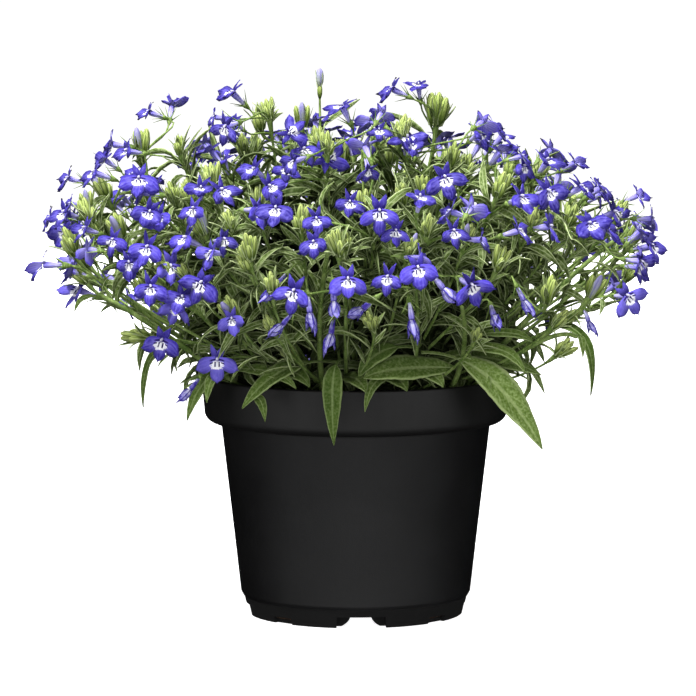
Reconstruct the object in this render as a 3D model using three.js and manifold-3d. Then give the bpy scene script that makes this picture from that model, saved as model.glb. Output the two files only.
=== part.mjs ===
// Trailing lobelia in its nursery pot, in millimetres, +Z up.
// The origin is the middle of the circle that the pot stands on.
import * as THREE from "three";
import { mergeVertices } from "three/addons/utils/BufferGeometryUtils.js";
import Module from "manifold-3d";

const wasm = await Module();
wasm.setup();

// ---------------------------------------------------------------- driving dimensions

const GAP = 0.3; // clearance between pieces that touch

// Pot: injection-moulded, with a rim band, a tapered body and a foot ring
const POT_HEIGHT = 93.3;
const RIM_RADIUS = 60;
const RIM_DROP = 18; // height of the rim band
const RIM_TAPER = 1.2; // how much narrower the band is at its lower corner
const RIM_CORNER = 4; // rounding of the band's lower corner
const RIM_WALL = 1.5;
const BODY_TOP_RADIUS = 52.3;
const BODY_FOOT_RADIUS = 44.7;
const BODY_FOOT_Z = 8.5;
const WALL = 1.2;
const FOOT_TOP_RADIUS = 43.4;
const FOOT_RADIUS = 41.9;
const FOOT_PAD = 1.4; // thickness of the plastic under the feet
const POT_TURN = 3; // degrees that the foot notches are turned from the front
const POT_SEGMENTS = 40;

// Drain channels that cross under the base, and the notches where they leave the foot ring
const CHANNEL_HALF_TOP = 3.9;
const CHANNEL_HALF_BOTTOM = 7.3;
const CHANNEL_HEIGHT = 4.4;
const NOTCH_WIDTH = 19;
const NOTCH_DEPTH = 6;
const SMALL_NOTCH_WIDTH = 9;
const SMALL_NOTCH_HEIGHT = 2.6;
const SMALL_NOTCH_DEPTH = 2.2;
const DRAIN_RADIUS = 2.9;
const DRAIN_CIRCLE = 26;

// Soil, filled to below the rim
const SOIL_TOP = 84;
const SOIL_CROWN = 1.5;

// Plant: shoots fan out from the soil to a dome of blooms
const VIEWER = new THREE.Vector3(-3, -1800, 292.7); // point that the seen places are seen from
const DOME_CENTRE_Z = 143;
const DOME_HALF_WIDTH = 122;
const DOME_HALF_DEPTH = 116;
const DOME_RISE = 66;
const DOME_DROP = 42;
const SHOOT_RADIUS = 0.95;
const BRANCH_RADIUS = 0.5;
const SHOOT_STEPS = 8;
const BRANCH_STEPS = 4;
const STEM_SIDES = 5;
const TIP_LEAD = 9; // length over which a shoot lines up with its tip bloom
const BRANCH_LEAD = 0.25; // the same on a side branch, as a share of its reach

// Flower: a tube in a calyx, a lip of three broad lobes and two narrow upper lobes
const TUBE_LENGTH = 7;
const TUBE_RADIUS = 1.5;
const TUBE_NECK = 0.9;
const CALYX_LENGTH = 3.4;
const CALYX_RADIUS = 1.5;
const FLOWER_LENGTH = TUBE_LENGTH + CALYX_LENGTH;
const LOBE_LENGTH = 8.6;
const LOBE_WIDTH = 5.4;
const SIDE_LOBE_ANGLE = 66;
const UPPER_LOBE_LENGTH = 5.6;
const UPPER_LOBE_WIDTH = 1.5;
const UPPER_LOBE_ANGLE = 20;
const UPPER_LOBE_TILT = 10;
const UPPER_LOBE_BACK = 1.2; // how far the upper lobes' roots lie behind the lip
const LIP_CUP = 12; // degrees that the lip's lobes usually tip forward
const LOBE_ROOT = 1; // distance of the lobes' roots from the flower's axis
const LOBE_VALLEY = 1.7; // distance from the axis at which neighbouring lobes part
const LIP_END_ANGLE = 40; // degrees from a side lobe's middle to the end of the lip's upper edge
const MOUTH_Z = 0.1; // the tube ends inside the lip's thickness
const PETAL_THICKNESS = 0.5;

// Cluster of buds and bracts at a shoot's tip
const BUD_LENGTH = 11;
const BUD_RADIUS = 1.5;
const BUDS_IN_CLUSTER = 3;
const BUD_FOOT_RADIUS = 0.8;
const BUD_SPREAD = 22;
const BUD_SIDES = 5;

// Leaf blades that hang over the rim
const LEAF_THICKNESS = 0.5;
const LEAF_STEPS = 9;
const LEAF_STALK_WIDTH = 1.2;
const LEAF_TIP_WIDTH = 0.8;

// ---------------------------------------------------------------- materials

const plastic = new THREE.MeshStandardMaterial({ color: 0x1b1b1d, roughness: 0.42, metalness: 0 });
const soil = new THREE.MeshStandardMaterial({ color: 0x2e2018, roughness: 0.95, metalness: 0 });
const stemGreen = new THREE.MeshStandardMaterial({ color: 0x7f9a52, roughness: 0.6, metalness: 0 });
const leafGreen = new THREE.MeshStandardMaterial({ color: 0x4d6b2c, roughness: 0.6, metalness: 0 });
const budGreen = new THREE.MeshStandardMaterial({ color: 0xa7c255, roughness: 0.6, metalness: 0 });
const petalBlue = new THREE.MeshStandardMaterial({ color: 0x4638d8, roughness: 0.55, metalness: 0 });

// ---------------------------------------------------------------- solids

const radians = THREE.MathUtils.degToRad;

/** A closed geometry as a manifold solid: shared vertices merged, faces turned outwards. */
function solidOf(geometry) {
  const bare = geometry.clone();
  bare.deleteAttribute("normal");
  bare.deleteAttribute("uv");
  const merged = mergeVertices(bare, 1e-4);
  const position = merged.attributes.position;
  const index = merged.index.array;
  const corners = [new THREE.Vector3(), new THREE.Vector3(), new THREE.Vector3()];
  const faces = [];
  let volume = 0;
  for (let i = 0; i < index.length; i += 3) {
    const face = [index[i], index[i + 1], index[i + 2]];
    if (new Set(face).size < 3) {
      continue;
    }
    corners.forEach((corner, k) => corner.fromBufferAttribute(position, face[k]));
    volume += corners[0].dot(corners[1].cross(corners[2]));
    faces.push(face);
  }
  if (volume < 0) {
    faces.forEach((face) => face.reverse());
  }
  const vertProperties = new Float32Array(position.array);
  const triVerts = new Uint32Array(faces.flat());
  return new wasm.Manifold(new wasm.Mesh({ numProp: 3, vertProperties, triVerts }));
}

/** A manifold solid as a three.js geometry. */
function geometryOf(solid) {
  const mesh = solid.getMesh();
  const geometry = new THREE.BufferGeometry();
  geometry.setAttribute("position", new THREE.BufferAttribute(new Float32Array(mesh.vertProperties), 3));
  geometry.setIndex(new THREE.BufferAttribute(new Uint32Array(mesh.triVerts), 1));
  geometry.computeVertexNormals();
  return geometry;
}

/** One solid from several that overlap. */
function joined(solids) {
  return solids.reduce((whole, solid) => whole.add(solid));
}

/** A solid of revolution about Z, from [radius, height] points that start and end on the axis. */
function turned(points, segments = POT_SEGMENTS) {
  const outline = points.map(([radius, height]) => new THREE.Vector2(radius, height));
  return new THREE.LatheGeometry(outline, segments).rotateX(Math.PI / 2);
}

/** A tube of constant radius along a curve. */
function tube(curve, radius, steps) {
  const section = new THREE.Shape();
  for (let side = 0; side < STEM_SIDES; side += 1) {
    const angle = (side / STEM_SIDES) * 2 * Math.PI;
    const move = side === 0 ? "moveTo" : "lineTo";
    section[move](radius * Math.cos(angle), radius * Math.sin(angle));
  }
  return new THREE.ExtrudeGeometry(section, { extrudePath: curve, steps });
}

function namedMesh(name, geometry, material) {
  const mesh = new THREE.Mesh(geometry, material);
  mesh.name = name;
  return mesh;
}

// ---------------------------------------------------------------- pot

/** Outer radius of the tapered body at a height. */
function bodyRadius(z) {
  const share = (z - BODY_FOOT_Z) / (POT_HEIGHT - RIM_DROP - BODY_FOOT_Z);
  return BODY_FOOT_RADIUS + share * (BODY_TOP_RADIUS - BODY_FOOT_RADIUS);
}

/** Outline of everything inside the pot's outer surface, foot ring included. */
function outerOutline() {
  const shoulder = POT_HEIGHT - RIM_DROP;
  const bandFoot = RIM_RADIUS - RIM_TAPER;
  const corner = [70, 35, 0].map((degrees) => [
    bandFoot - RIM_CORNER * (1 - Math.cos(radians(degrees))),
    shoulder + RIM_CORNER * (1 - Math.sin(radians(degrees))),
  ]);
  return [
    [0, 0],
    [FOOT_RADIUS, 0],
    [FOOT_TOP_RADIUS, BODY_FOOT_Z - 1.4],
    [BODY_FOOT_RADIUS, BODY_FOOT_Z],
    [BODY_TOP_RADIUS, shoulder - 0.5],
    [bandFoot - RIM_CORNER, shoulder],
    ...corner,
    [RIM_RADIUS, POT_HEIGHT - 0.8],
    [RIM_RADIUS - RIM_WALL / 2, POT_HEIGHT],
    [0, POT_HEIGHT],
  ];
}

/** Inner radius of the rim band at a height. */
function bandRadius(z) {
  const share = (z - POT_HEIGHT + RIM_DROP) / RIM_DROP;
  return RIM_RADIUS - RIM_WALL - RIM_TAPER * (1 - share);
}

/** Outline of the space inside the walls, drawn in by an extra clearance and cut at a top height. */
function innerOutline(clearance, top) {
  const shelf = POT_HEIGHT - RIM_DROP + WALL + clearance;
  const corner = shelf + RIM_CORNER / 2;
  const inset = WALL + clearance;
  return [
    [0, FOOT_PAD + clearance],
    [FOOT_RADIUS - inset, FOOT_PAD + clearance],
    [BODY_FOOT_RADIUS - inset, BODY_FOOT_Z + clearance],
    [bodyRadius(shelf) - inset, shelf],
    [bandRadius(shelf) - clearance - RIM_CORNER / 2, shelf],
    [bandRadius(corner) - clearance, corner],
    [bandRadius(top) - clearance, top],
  ];
}

/** Drain channels and main notches under the base, grown by a wall thickness. */
function channels(grown) {
  const top = CHANNEL_HALF_TOP + grown;
  const bottom = CHANNEL_HALF_BOTTOM + grown;
  const height = CHANNEL_HEIGHT + grown;
  const section = new THREE.Shape();
  section.moveTo(-bottom, -1);
  section.lineTo(bottom, -1);
  section.lineTo(bottom, 0);
  section.quadraticCurveTo(top, 0.4 * height, top, height);
  section.lineTo(-top, height);
  section.quadraticCurveTo(-top, 0.4 * height, -bottom, 0);
  section.closePath();
  const reach = FOOT_RADIUS + 4;
  const pieces = [];
  for (const turn of [0, 90]) {
    const options = { depth: 2 * reach, bevelEnabled: false, curveSegments: 4 };
    const channel = new THREE.ExtrudeGeometry(section, options);
    channel.translate(0, 0, -reach);
    channel.rotateX(Math.PI / 2);
    channel.rotateZ(radians(turn));
    pieces.push(solidOf(channel));
  }
  for (const turn of [0, 90, 180, 270]) {
    const notch = new THREE.BoxGeometry(NOTCH_WIDTH + 2 * grown, NOTCH_DEPTH + 8 + grown, height + 1);
    notch.translate(0, -FOOT_RADIUS - 8 + (NOTCH_DEPTH + 8 + grown) / 2, (height - 1) / 2);
    notch.rotateZ(radians(turn));
    pieces.push(solidOf(notch));
  }
  return joined(pieces);
}

/** Small notches in the foot ring, between the main ones. */
function smallNotches() {
  const pieces = [45, 135, 225, 315].map((turn) => {
    const notch = new THREE.BoxGeometry(SMALL_NOTCH_WIDTH, SMALL_NOTCH_DEPTH + 4, SMALL_NOTCH_HEIGHT + 1);
    notch.translate(0, -FOOT_RADIUS - 2 + SMALL_NOTCH_DEPTH / 2, (SMALL_NOTCH_HEIGHT - 1) / 2);
    notch.rotateZ(radians(turn));
    return solidOf(notch);
  });
  return joined(pieces);
}

/** Drain holes through the roof of the channels. */
function drainHoles() {
  const places = [0, 90, 180, 270].map((turn) => [
    DRAIN_CIRCLE * Math.cos(radians(turn)),
    DRAIN_CIRCLE * Math.sin(radians(turn)),
  ]);
  const pieces = [[0, 0], ...places].map(([x, y]) => {
    const hole = new THREE.CylinderGeometry(DRAIN_RADIUS, DRAIN_RADIUS, 12, 12);
    hole.rotateX(Math.PI / 2);
    hole.translate(x, y, CHANNEL_HEIGHT);
    return solidOf(hole);
  });
  return joined(pieces);
}

/** Space inside the pot: the inner outline, less the hump over the channels. */
function potSpace(clearance, top, crown = 0) {
  const outline = [...innerOutline(clearance, top), [0, top + crown]];
  return solidOf(turned(outline)).subtract(channels(WALL + clearance));
}

function makePot() {
  const shell = solidOf(turned(outerOutline()))
    .subtract(potSpace(0, POT_HEIGHT + 1))
    .subtract(channels(0))
    .subtract(smallNotches())
    .subtract(drainHoles());
  const pot = namedMesh("pot", geometryOf(shell), plastic);
  pot.rotation.z = radians(POT_TURN);
  return pot;
}

function makeSoil() {
  const mesh = namedMesh("potting_soil", geometryOf(potSpace(GAP, SOIL_TOP, SOIL_CROWN)), soil);
  mesh.rotation.z = radians(POT_TURN);
  return mesh;
}

// ---------------------------------------------------------------- places on the dome

/** Point at depth y on the line of sight through a seen place, [across, up] on the plane y = 0. */
function sighted([across, up], y) {
  const share = (y - VIEWER.y) / -VIEWER.y;
  return new THREE.Vector3(
    VIEWER.x + (across - VIEWER.x) * share,
    y,
    VIEWER.z + (up - VIEWER.z) * share,
  );
}

/** Where the line of sight through a seen place meets the front of the dome, or passes closest to it. */
function onDomeFront(seen) {
  const start = sighted(seen, 0);
  const slope = sighted(seen, 1).sub(start);
  const rise = start.z > DOME_CENTRE_Z ? DOME_RISE : DOME_DROP;
  const scale = new THREE.Vector3(1 / DOME_HALF_WIDTH, 1 / DOME_HALF_DEPTH, 1 / rise);
  const from = start.clone().setZ(start.z - DOME_CENTRE_Z).multiply(scale);
  const along = slope.clone().multiply(scale);
  const a = along.dot(along);
  const b = from.dot(along);
  const spare = b * b - a * (from.dot(from) - 1);
  const y = (-b - Math.sqrt(Math.max(spare, 0))) / a;
  return sighted(seen, y);
}

/** Point on the dome at an azimuth, counted from +X towards +Y, and a height. */
function onDomeAround(azimuth, height) {
  const rise = height > DOME_CENTRE_Z ? DOME_RISE : DOME_DROP;
  const share = Math.sqrt(Math.max(1 - ((height - DOME_CENTRE_Z) / rise) ** 2, 0));
  const angle = radians(azimuth);
  return new THREE.Vector3(
    DOME_HALF_WIDTH * share * Math.cos(angle),
    DOME_HALF_DEPTH * share * Math.sin(angle),
    height,
  );
}

/** Orientation of a bloom: local +Z is the way it faces, local +Y its upper side.
 *  turn is from the front towards +X, pitch is upwards, roll tips the upper side to the right. */
function facing(turn, pitch, roll) {
  const out = new THREE.Vector3(
    Math.sin(radians(turn)) * Math.cos(radians(pitch)),
    -Math.cos(radians(turn)) * Math.cos(radians(pitch)),
    Math.sin(radians(pitch)),
  );
  const right = new THREE.Vector3(0, 0, 1).cross(out).normalize();
  const upper = out.clone().cross(right);
  const side = right.clone().multiplyScalar(Math.cos(radians(roll)));
  side.addScaledVector(upper, -Math.sin(radians(roll)));
  const top = out.clone().cross(side);
  return new THREE.Quaternion().setFromRotationMatrix(new THREE.Matrix4().makeBasis(side, top, out));
}

// ---------------------------------------------------------------- flower, buds, leaf

// Half outlines of the petal lobes, from root to tip: [share of the width, share of the length].
const BROAD_LOBE = [[0.5, 0.5], [0.42, 0.82], [0, 1]];
const NARROW_LOBE = [[0.2, 0], [0.5, 0.6], [0, 1]];
const FLOWER_AXIS = new THREE.Vector2();

/** Outline points of one lobe that grows out of the mouth at an angle from the upper side. */
function lobeOutline(halfOutline, length, width, angle) {
  const right = halfOutline.map(([across, along]) => new THREE.Vector2(across * width, along * length));
  const left = right.slice(0, -1).map((point) => new THREE.Vector2(-point.x, point.y));
  const outline = [...right, ...left.reverse()];
  return outline.map((point) => point.setY(point.y + LOBE_ROOT).rotateAround(FLOWER_AXIS, radians(angle)));
}

/** Outline of the lip: three broad lobes with valleys between them, closed across the mouth. */
function lipOutline() {
  const valley = (angle) => new THREE.Vector2(0, LOBE_VALLEY).rotateAround(FLOWER_AXIS, radians(angle));
  const outline = [valley(180 - SIDE_LOBE_ANGLE - LIP_END_ANGLE)];
  for (const side of [-1, 0, 1]) {
    const angle = 180 + side * SIDE_LOBE_ANGLE;
    const next = side < 1 ? SIDE_LOBE_ANGLE / 2 : LIP_END_ANGLE;
    outline.push(...lobeOutline(BROAD_LOBE, LOBE_LENGTH, LOBE_WIDTH, angle), valley(angle + next));
  }
  return outline;
}

/** A thin petal of the given outline at a height, whose outer parts tip forward by an angle. */
function petal(outline, forward, height) {
  const shape = new THREE.Shape(outline);
  const blade = new THREE.ExtrudeGeometry(shape, { depth: PETAL_THICKNESS, bevelEnabled: false });
  blade.translate(0, 0, height - PETAL_THICKNESS / 2);
  const position = blade.attributes.position;
  for (let i = 0; i < position.count; i += 1) {
    const reach = Math.hypot(position.getX(i), position.getY(i));
    const past = Math.max(reach - LOBE_VALLEY, 0);
    const share = (reach - past * (1 - Math.cos(radians(forward)))) / reach;
    const lift = past * Math.sin(radians(forward));
    position.setXYZ(i, position.getX(i) * share, position.getY(i) * share, position.getZ(i) + lift);
  }
  return solidOf(blade);
}

/** One open flower with its mouth at the origin, facing +Z; cup is how far its lip tips forward. */
function flowerGeometry(cup) {
  const upper = [-UPPER_LOBE_ANGLE, UPPER_LOBE_ANGLE].map((angle) => {
    const outline = lobeOutline(NARROW_LOBE, UPPER_LOBE_LENGTH, UPPER_LOBE_WIDTH, angle);
    return petal(outline, UPPER_LOBE_TILT, -UPPER_LOBE_BACK);
  });
  const tubeAndCalyx = turned(
    [
      [0, -FLOWER_LENGTH],
      [BRANCH_RADIUS, -FLOWER_LENGTH],
      [CALYX_RADIUS, -TUBE_LENGTH - 0.4],
      [TUBE_NECK, -TUBE_LENGTH],
      [TUBE_RADIUS, MOUTH_Z],
      [0, MOUTH_Z],
    ],
    STEM_SIDES,
  );
  return geometryOf(joined([solidOf(tubeAndCalyx), petal(lipOutline(), cup, 0), ...upper]));
}

/** A cluster of closed buds and bracts that rises along +Z from the origin. */
function budGeometry() {
  const outline = [
    [0, 0],
    [BUD_FOOT_RADIUS, 0],
    [BUD_RADIUS, 0.6 * BUD_LENGTH],
    [0, BUD_LENGTH],
  ];
  const buds = [solidOf(turned(outline, BUD_SIDES))];
  for (let bud = 0; bud < BUDS_IN_CLUSTER; bud += 1) {
    const leaning = turned(outline, BUD_SIDES);
    leaning.rotateX(radians(BUD_SPREAD));
    leaning.rotateZ(((bud + 0.5) / BUDS_IN_CLUSTER) * 2 * Math.PI);
    buds.push(solidOf(leaning));
  }
  return geometryOf(joined(buds));
}

/** A leaf blade along a curve; its broad face looks along the given direction where it can. */
function leafGeometry(curve, width, face) {
  const blade = new THREE.BoxGeometry(1, 1, 1, 2, 1, LEAF_STEPS);
  const position = blade.attributes.position;
  const point = new THREE.Vector3();
  for (let i = 0; i < position.count; i += 1) {
    const share = position.getZ(i) + 0.5;
    const along = curve.getTangent(share);
    const side = along.clone().cross(face).normalize();
    const outward = side.clone().cross(along);
    const swell = Math.sin(Math.PI * Math.min(1, share ** 0.8)) ** 0.8;
    const ends = THREE.MathUtils.lerp(LEAF_STALK_WIDTH, LEAF_TIP_WIDTH, share);
    const across = position.getX(i) * Math.max(ends, width * swell);
    const fold = Math.abs(position.getX(i)) * 0.2 * width * swell;
    curve.getPoint(share, point);
    point.addScaledVector(side, across);
    point.addScaledVector(outward, position.getY(i) * LEAF_THICKNESS + fold);
    position.setXYZ(i, point.x, point.y, point.z);
  }
  return geometryOf(solidOf(blade));
}

// ---------------------------------------------------------------- shoots and what they carry

/** A flower whose mouth is seen at [across, up]. */
function flower(across, up, { turn = 0, pitch = 10, roll = 0, cup = LIP_CUP, depth = null } = {}) {
  const seen = [across, up];
  const mouth = depth === null ? onDomeFront(seen) : sighted(seen, depth);
  return { kind: "flower", mouth, pose: facing(turn, pitch, roll), cup };
}

/** A flower that faces straight out of the dome at an azimuth and height. */
function outerFlower(azimuth, height, pitch = 15, roll = 0) {
  const pose = facing(azimuth + 90, pitch, roll);
  return { kind: "flower", mouth: onDomeAround(azimuth, height), pose, cup: LIP_CUP };
}

/** A bud cluster whose top is seen at [across, up] and that points the given way. */
function buds(across, up, { turn = 0, pitch = 80, depth = null } = {}) {
  const seen = [across, up];
  const mouth = depth === null ? onDomeFront(seen) : sighted(seen, depth);
  return { kind: "buds", mouth, pose: facing(turn, pitch, 0) };
}

/** A bud cluster that points out of the dome at an azimuth and height. */
function outerBuds(azimuth, height, pitch = 60) {
  return { kind: "buds", mouth: onDomeAround(azimuth, height), pose: facing(azimuth + 90, pitch, 0) };
}

/** Point where a bloom meets its stalk: behind its mouth or its top. */
function heel(bloom, spare = 0) {
  const length = bloom.kind === "flower" ? FLOWER_LENGTH : BUD_LENGTH;
  const back = new THREE.Vector3(0, 0, -length - spare).applyQuaternion(bloom.pose);
  return back.add(bloom.mouth);
}

// Each shoot: where its root stands on the soil (azimuth and radius), how far its middle bows out,
// and its blooms, the first at its tip and the others on side branches.
const SHOOTS = [
  {
    root: [-97, 27],
    bow: 9,
    blooms: [
      flower(-3, 130, { turn: 2, pitch: 6 }),
      flower(-24, 125.4, { turn: -22, roll: 12 }),
    ],
  },
  {
    root: [-50, 28],
    bow: 12,
    blooms: [
      flower(24.2, 134.4, { turn: 6, pitch: 8, roll: -6 }),
      flower(45, 127.8, { turn: 32, pitch: -12, roll: -24 }),
    ],
  },
  {
    root: [-4, 30],
    bow: 6,
    blooms: [
      flower(114.5, 143, { turn: 62, pitch: 12, roll: -10, cup: 30, depth: 22 }),
      flower(105.6, 123.5, { turn: 36, pitch: 4, roll: -34, depth: -16 }),
    ],
  },
  {
    root: [183, 30],
    bow: 6,
    blooms: [
      flower(-121.6, 135.8, { turn: -86, pitch: 2, cup: 58, depth: -44 }),
      flower(-111.9, 148.5, { turn: -20, pitch: 8, roll: 26, depth: -20 }),
      flower(-107.6, 126.1, { turn: -62, pitch: 22, cup: 40, depth: -6 }),
    ],
  },
  {
    root: [-140, 29],
    bow: 9,
    blooms: [
      flower(-60.1, 128.6, { turn: -18, pitch: 8, roll: 26 }),
      flower(-75.4, 106, { turn: -16, pitch: 2, roll: 10, depth: -62 }),
      flower(-53.8, 98.5, { turn: -4, pitch: 4, depth: -66 }),
      buds(-90.5, 109, { turn: -75, pitch: 10, depth: -38 }),
    ],
  },
  {
    root: [38, 29],
    bow: 8,
    blooms: [outerFlower(34, 140), outerBuds(50, 158)],
  },
  {
    root: [88, 28],
    bow: 9,
    blooms: [outerFlower(90, 136), outerFlower(73, 148, 20, 10)],
  },
  {
    root: [135, 29],
    bow: 8,
    blooms: [outerFlower(146, 141, 12, 8), outerBuds(128, 156)],
  },
  {
    root: [-124, 14],
    bow: 6,
    blooms: [
      flower(-84, 169.2, { turn: -6, pitch: 22 }),
      buds(-83, 188, { turn: -20, pitch: 82, depth: -10 }),
    ],
  },
  {
    root: [-88, 13],
    bow: 6,
    blooms: [
      flower(9.2, 156.5, { turn: 4, pitch: 12 }),
      flower(-31, 157.7, { turn: -10, pitch: 16, roll: 4 }),
    ],
  },
  {
    root: [-32, 15],
    bow: 5,
    blooms: [
      flower(74.8, 164.2, { turn: 34, pitch: 10, roll: -20 }),
      flower(90.8, 151.6, { turn: 20, pitch: 30, roll: -20 }),
      flower(34.6, 169.6, { turn: 10, pitch: 14, roll: -14 }),
      buds(76, 131, { turn: 30, pitch: 72 }),
    ],
  },
  {
    root: [48, 14],
    bow: 5,
    blooms: [outerFlower(42, 176, 30)],
  },
  {
    root: [132, 14],
    bow: 5,
    blooms: [outerFlower(126, 178, 30)],
  },
  {
    root: [18, 6],
    bow: 2,
    blooms: [
      buds(32, 200, { turn: 60, pitch: 84, depth: -6 }),
      flower(20, 185, { turn: 10, pitch: 58, depth: -42 }),
    ],
  },
  {
    root: [-168, 7],
    bow: 2,
    blooms: [
      buds(-13.9, 211, { turn: 0, pitch: 88, depth: 4 }),
      flower(-11, 177, { turn: 8, pitch: 26, roll: -135, depth: -62 }),
      buds(-38, 198, { turn: -60, pitch: 80, depth: -6 }),
    ],
  },
];

/** Middle line of a shoot: from the soil to just behind its tip bloom, bowed outwards and down. */
function shootCurve({ root: [azimuth, radius], bow, blooms }) {
  const out = new THREE.Vector3(Math.cos(radians(azimuth)), Math.sin(radians(azimuth)), 0);
  const crown = SOIL_CROWN * (1 - radius / (RIM_RADIUS - RIM_WALL - GAP));
  const start = out.clone().multiplyScalar(radius).setZ(SOIL_TOP + crown + GAP);
  const end = heel(blooms[0], GAP);
  const middle = start.clone().lerp(end, 0.5);
  middle.addScaledVector(out, bow);
  middle.z -= 0.5 * bow;
  const slant = middle.clone().sub(start).normalize();
  start.z += SHOOT_RADIUS * Math.hypot(slant.x, slant.y); // its slanted end face clears the soil
  return new THREE.CubicBezierCurve3(start, middle, heel(blooms[0], GAP + TIP_LEAD), end);
}

/** Share of a curve's length at which it passes closest to a point. */
function closestShare(curve, point) {
  let best = 0;
  let least = Infinity;
  for (let share = 0; share <= 1; share += 0.02) {
    const distance = curve.getPoint(share).distanceTo(point);
    if (distance < least) {
      least = distance;
      best = share;
    }
  }
  return [best, least];
}

/** Middle line of a side branch: it leaves the shoot below its bloom and bends over to it. */
function branchCurve(shoot, bloom) {
  const end = heel(bloom, GAP);
  const [nearest, distance] = closestShare(shoot, end);
  const share = THREE.MathUtils.clamp(nearest - (0.7 * distance) / shoot.getLength(), 0.22, 0.86);
  const start = shoot.getPoint(share);
  const reach = start.distanceTo(end);
  const middle = start.clone().addScaledVector(shoot.getTangent(share), 0.4 * reach);
  return new THREE.CubicBezierCurve3(start, middle, heel(bloom, GAP + BRANCH_LEAD * reach), end);
}

// Leaves that hang over the rim: the shoot that carries each, how far along it,
// where its tip is seen and at what depth, its width and how high it arches.
const RIM_LEAVES = [
  { shoot: 1, at: 0.3, tip: [72.7, 63.7], depth: -48, width: 9.3, arch: 12 },
  { shoot: 1, at: 0.26, tip: [72, 92.8], depth: -36, width: 5.4, arch: 6 },
  { shoot: 1, at: 0.34, tip: [1.2, 92], depth: -70, width: 10.4, arch: 5 },
  { shoot: 0, at: 0.3, tip: [-8.5, 65.2], depth: -72, width: 7.8, arch: 14 },
  { shoot: 0, at: 0.26, tip: [-44.2, 79.6], depth: -62, width: 5.2, arch: 14 },
  { shoot: 4, at: 0.2, tip: [-65.6, 74.9], depth: -40, width: 5, arch: 14 },
  { shoot: 3, at: 0.25, tip: [-82.7, 80], depth: 8, width: 3.6, arch: 12 },
  { shoot: 2, at: 0.36, tip: [91.4, 84.7], depth: 2, width: 3.6, arch: 12 },
  { shoot: 6, at: 0.32, tip: [12, 58], depth: 78, width: 8, arch: 14 },
];

/** A leaf from the side of its shoot, up over the rim and down to its tip. */
function rimLeafGeometry({ shoot, at, tip, depth, width, arch }) {
  const line = shootCurve(SHOOTS[shoot]);
  const end = sighted(tip, depth);
  const node = line.getPoint(at);
  const way = end.clone().sub(node).setZ(0).normalize();
  const sideways = way.clone().projectOnPlane(line.getTangent(at)).normalize();
  const start = node.clone().addScaledVector(sideways, SHOOT_RADIUS + LEAF_STALK_WIDTH / 2 + GAP);
  const middle = start.clone().lerp(end, 0.5);
  middle.z = Math.max(start.z, end.z) + arch * 0.5;
  middle.addScaledVector(way, 0.25 * start.distanceTo(end));
  const face = new THREE.Vector3(way.x, way.y, 1).normalize();
  return leafGeometry(new THREE.QuadraticBezierCurve3(start, middle, end), width, face);
}

// ---------------------------------------------------------------- the whole object

const object = new THREE.Group();
object.name = "trailing_lobelia";
object.add(makePot(), makeSoil());

function numbered(stem, count) {
  return `${stem}_${String(count).padStart(2, "0")}`;
}

const budShape = budGeometry();
let flowers = 0;
let clusters = 0;
SHOOTS.forEach((shoot, index) => {
  const line = shootCurve(shoot);
  const parts = [solidOf(tube(line, SHOOT_RADIUS, SHOOT_STEPS))];
  for (const bloom of shoot.blooms.slice(1)) {
    parts.push(solidOf(tube(branchCurve(line, bloom), BRANCH_RADIUS, BRANCH_STEPS)));
  }
  object.add(namedMesh(numbered("shoot", index + 1), geometryOf(joined(parts)), stemGreen));
  for (const bloom of shoot.blooms) {
    const open = bloom.kind === "flower";
    const name = open ? numbered("flower", (flowers += 1)) : numbered("bud_cluster", (clusters += 1));
    const shape = open ? flowerGeometry(bloom.cup) : budShape;
    const mesh = namedMesh(name, shape, open ? petalBlue : budGreen);
    mesh.quaternion.copy(bloom.pose);
    mesh.position.copy(open ? bloom.mouth : heel(bloom));
    object.add(mesh);
  }
});

RIM_LEAVES.forEach((leaf, index) => {
  object.add(namedMesh(numbered("rim_leaf", index + 1), rimLeafGeometry(leaf), leafGreen));
});

export default object;
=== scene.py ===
"""Trailing lobelia in its nursery pot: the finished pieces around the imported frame.

Lengths are millimetres in the code and metres in the meshes. The origin is the middle of the circle
that the pot stands on, +Z is up, -Y is the front and +X is to the right of the front.
"""

from __future__ import annotations

import logging
import math
import random
from collections.abc import Callable, Iterable, Sequence
from dataclasses import dataclass
from enum import Enum
from typing import Protocol

import bmesh
import bpy
from mathutils import Matrix, Vector, noise

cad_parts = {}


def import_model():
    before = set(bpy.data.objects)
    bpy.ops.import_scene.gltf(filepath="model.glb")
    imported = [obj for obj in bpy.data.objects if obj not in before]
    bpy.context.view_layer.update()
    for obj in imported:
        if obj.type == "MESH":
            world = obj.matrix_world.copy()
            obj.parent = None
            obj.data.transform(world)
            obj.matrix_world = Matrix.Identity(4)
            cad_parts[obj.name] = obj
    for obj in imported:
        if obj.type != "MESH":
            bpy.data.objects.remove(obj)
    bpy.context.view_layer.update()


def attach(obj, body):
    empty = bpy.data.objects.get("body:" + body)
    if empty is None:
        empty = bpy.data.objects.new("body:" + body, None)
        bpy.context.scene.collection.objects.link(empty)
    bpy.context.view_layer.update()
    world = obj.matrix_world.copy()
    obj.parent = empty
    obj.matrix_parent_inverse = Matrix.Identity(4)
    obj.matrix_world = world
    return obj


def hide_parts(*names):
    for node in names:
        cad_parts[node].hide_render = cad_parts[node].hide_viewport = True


LOG = logging.getLogger("lobelia")
MM = 0.001
SEED = 20
UP = Vector((0, 0, 1))
LEVEL = Vector((1, 1, 0))
BODY = "root"
BLADE_MAP = "blade"
LIP_MAP = "lip"
TINT = "tint"

Paint = tuple[float, ...]
Range = tuple[float, float]
Outline = list[tuple[float, float]]
Place = tuple[float, float, float]
Socket = bpy.types.NodeSocket
Material = bpy.types.Material
Mesh = bpy.types.Mesh
Shape = bmesh.types.BMesh

# ---------------- driving dimensions, as in the frame

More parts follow.
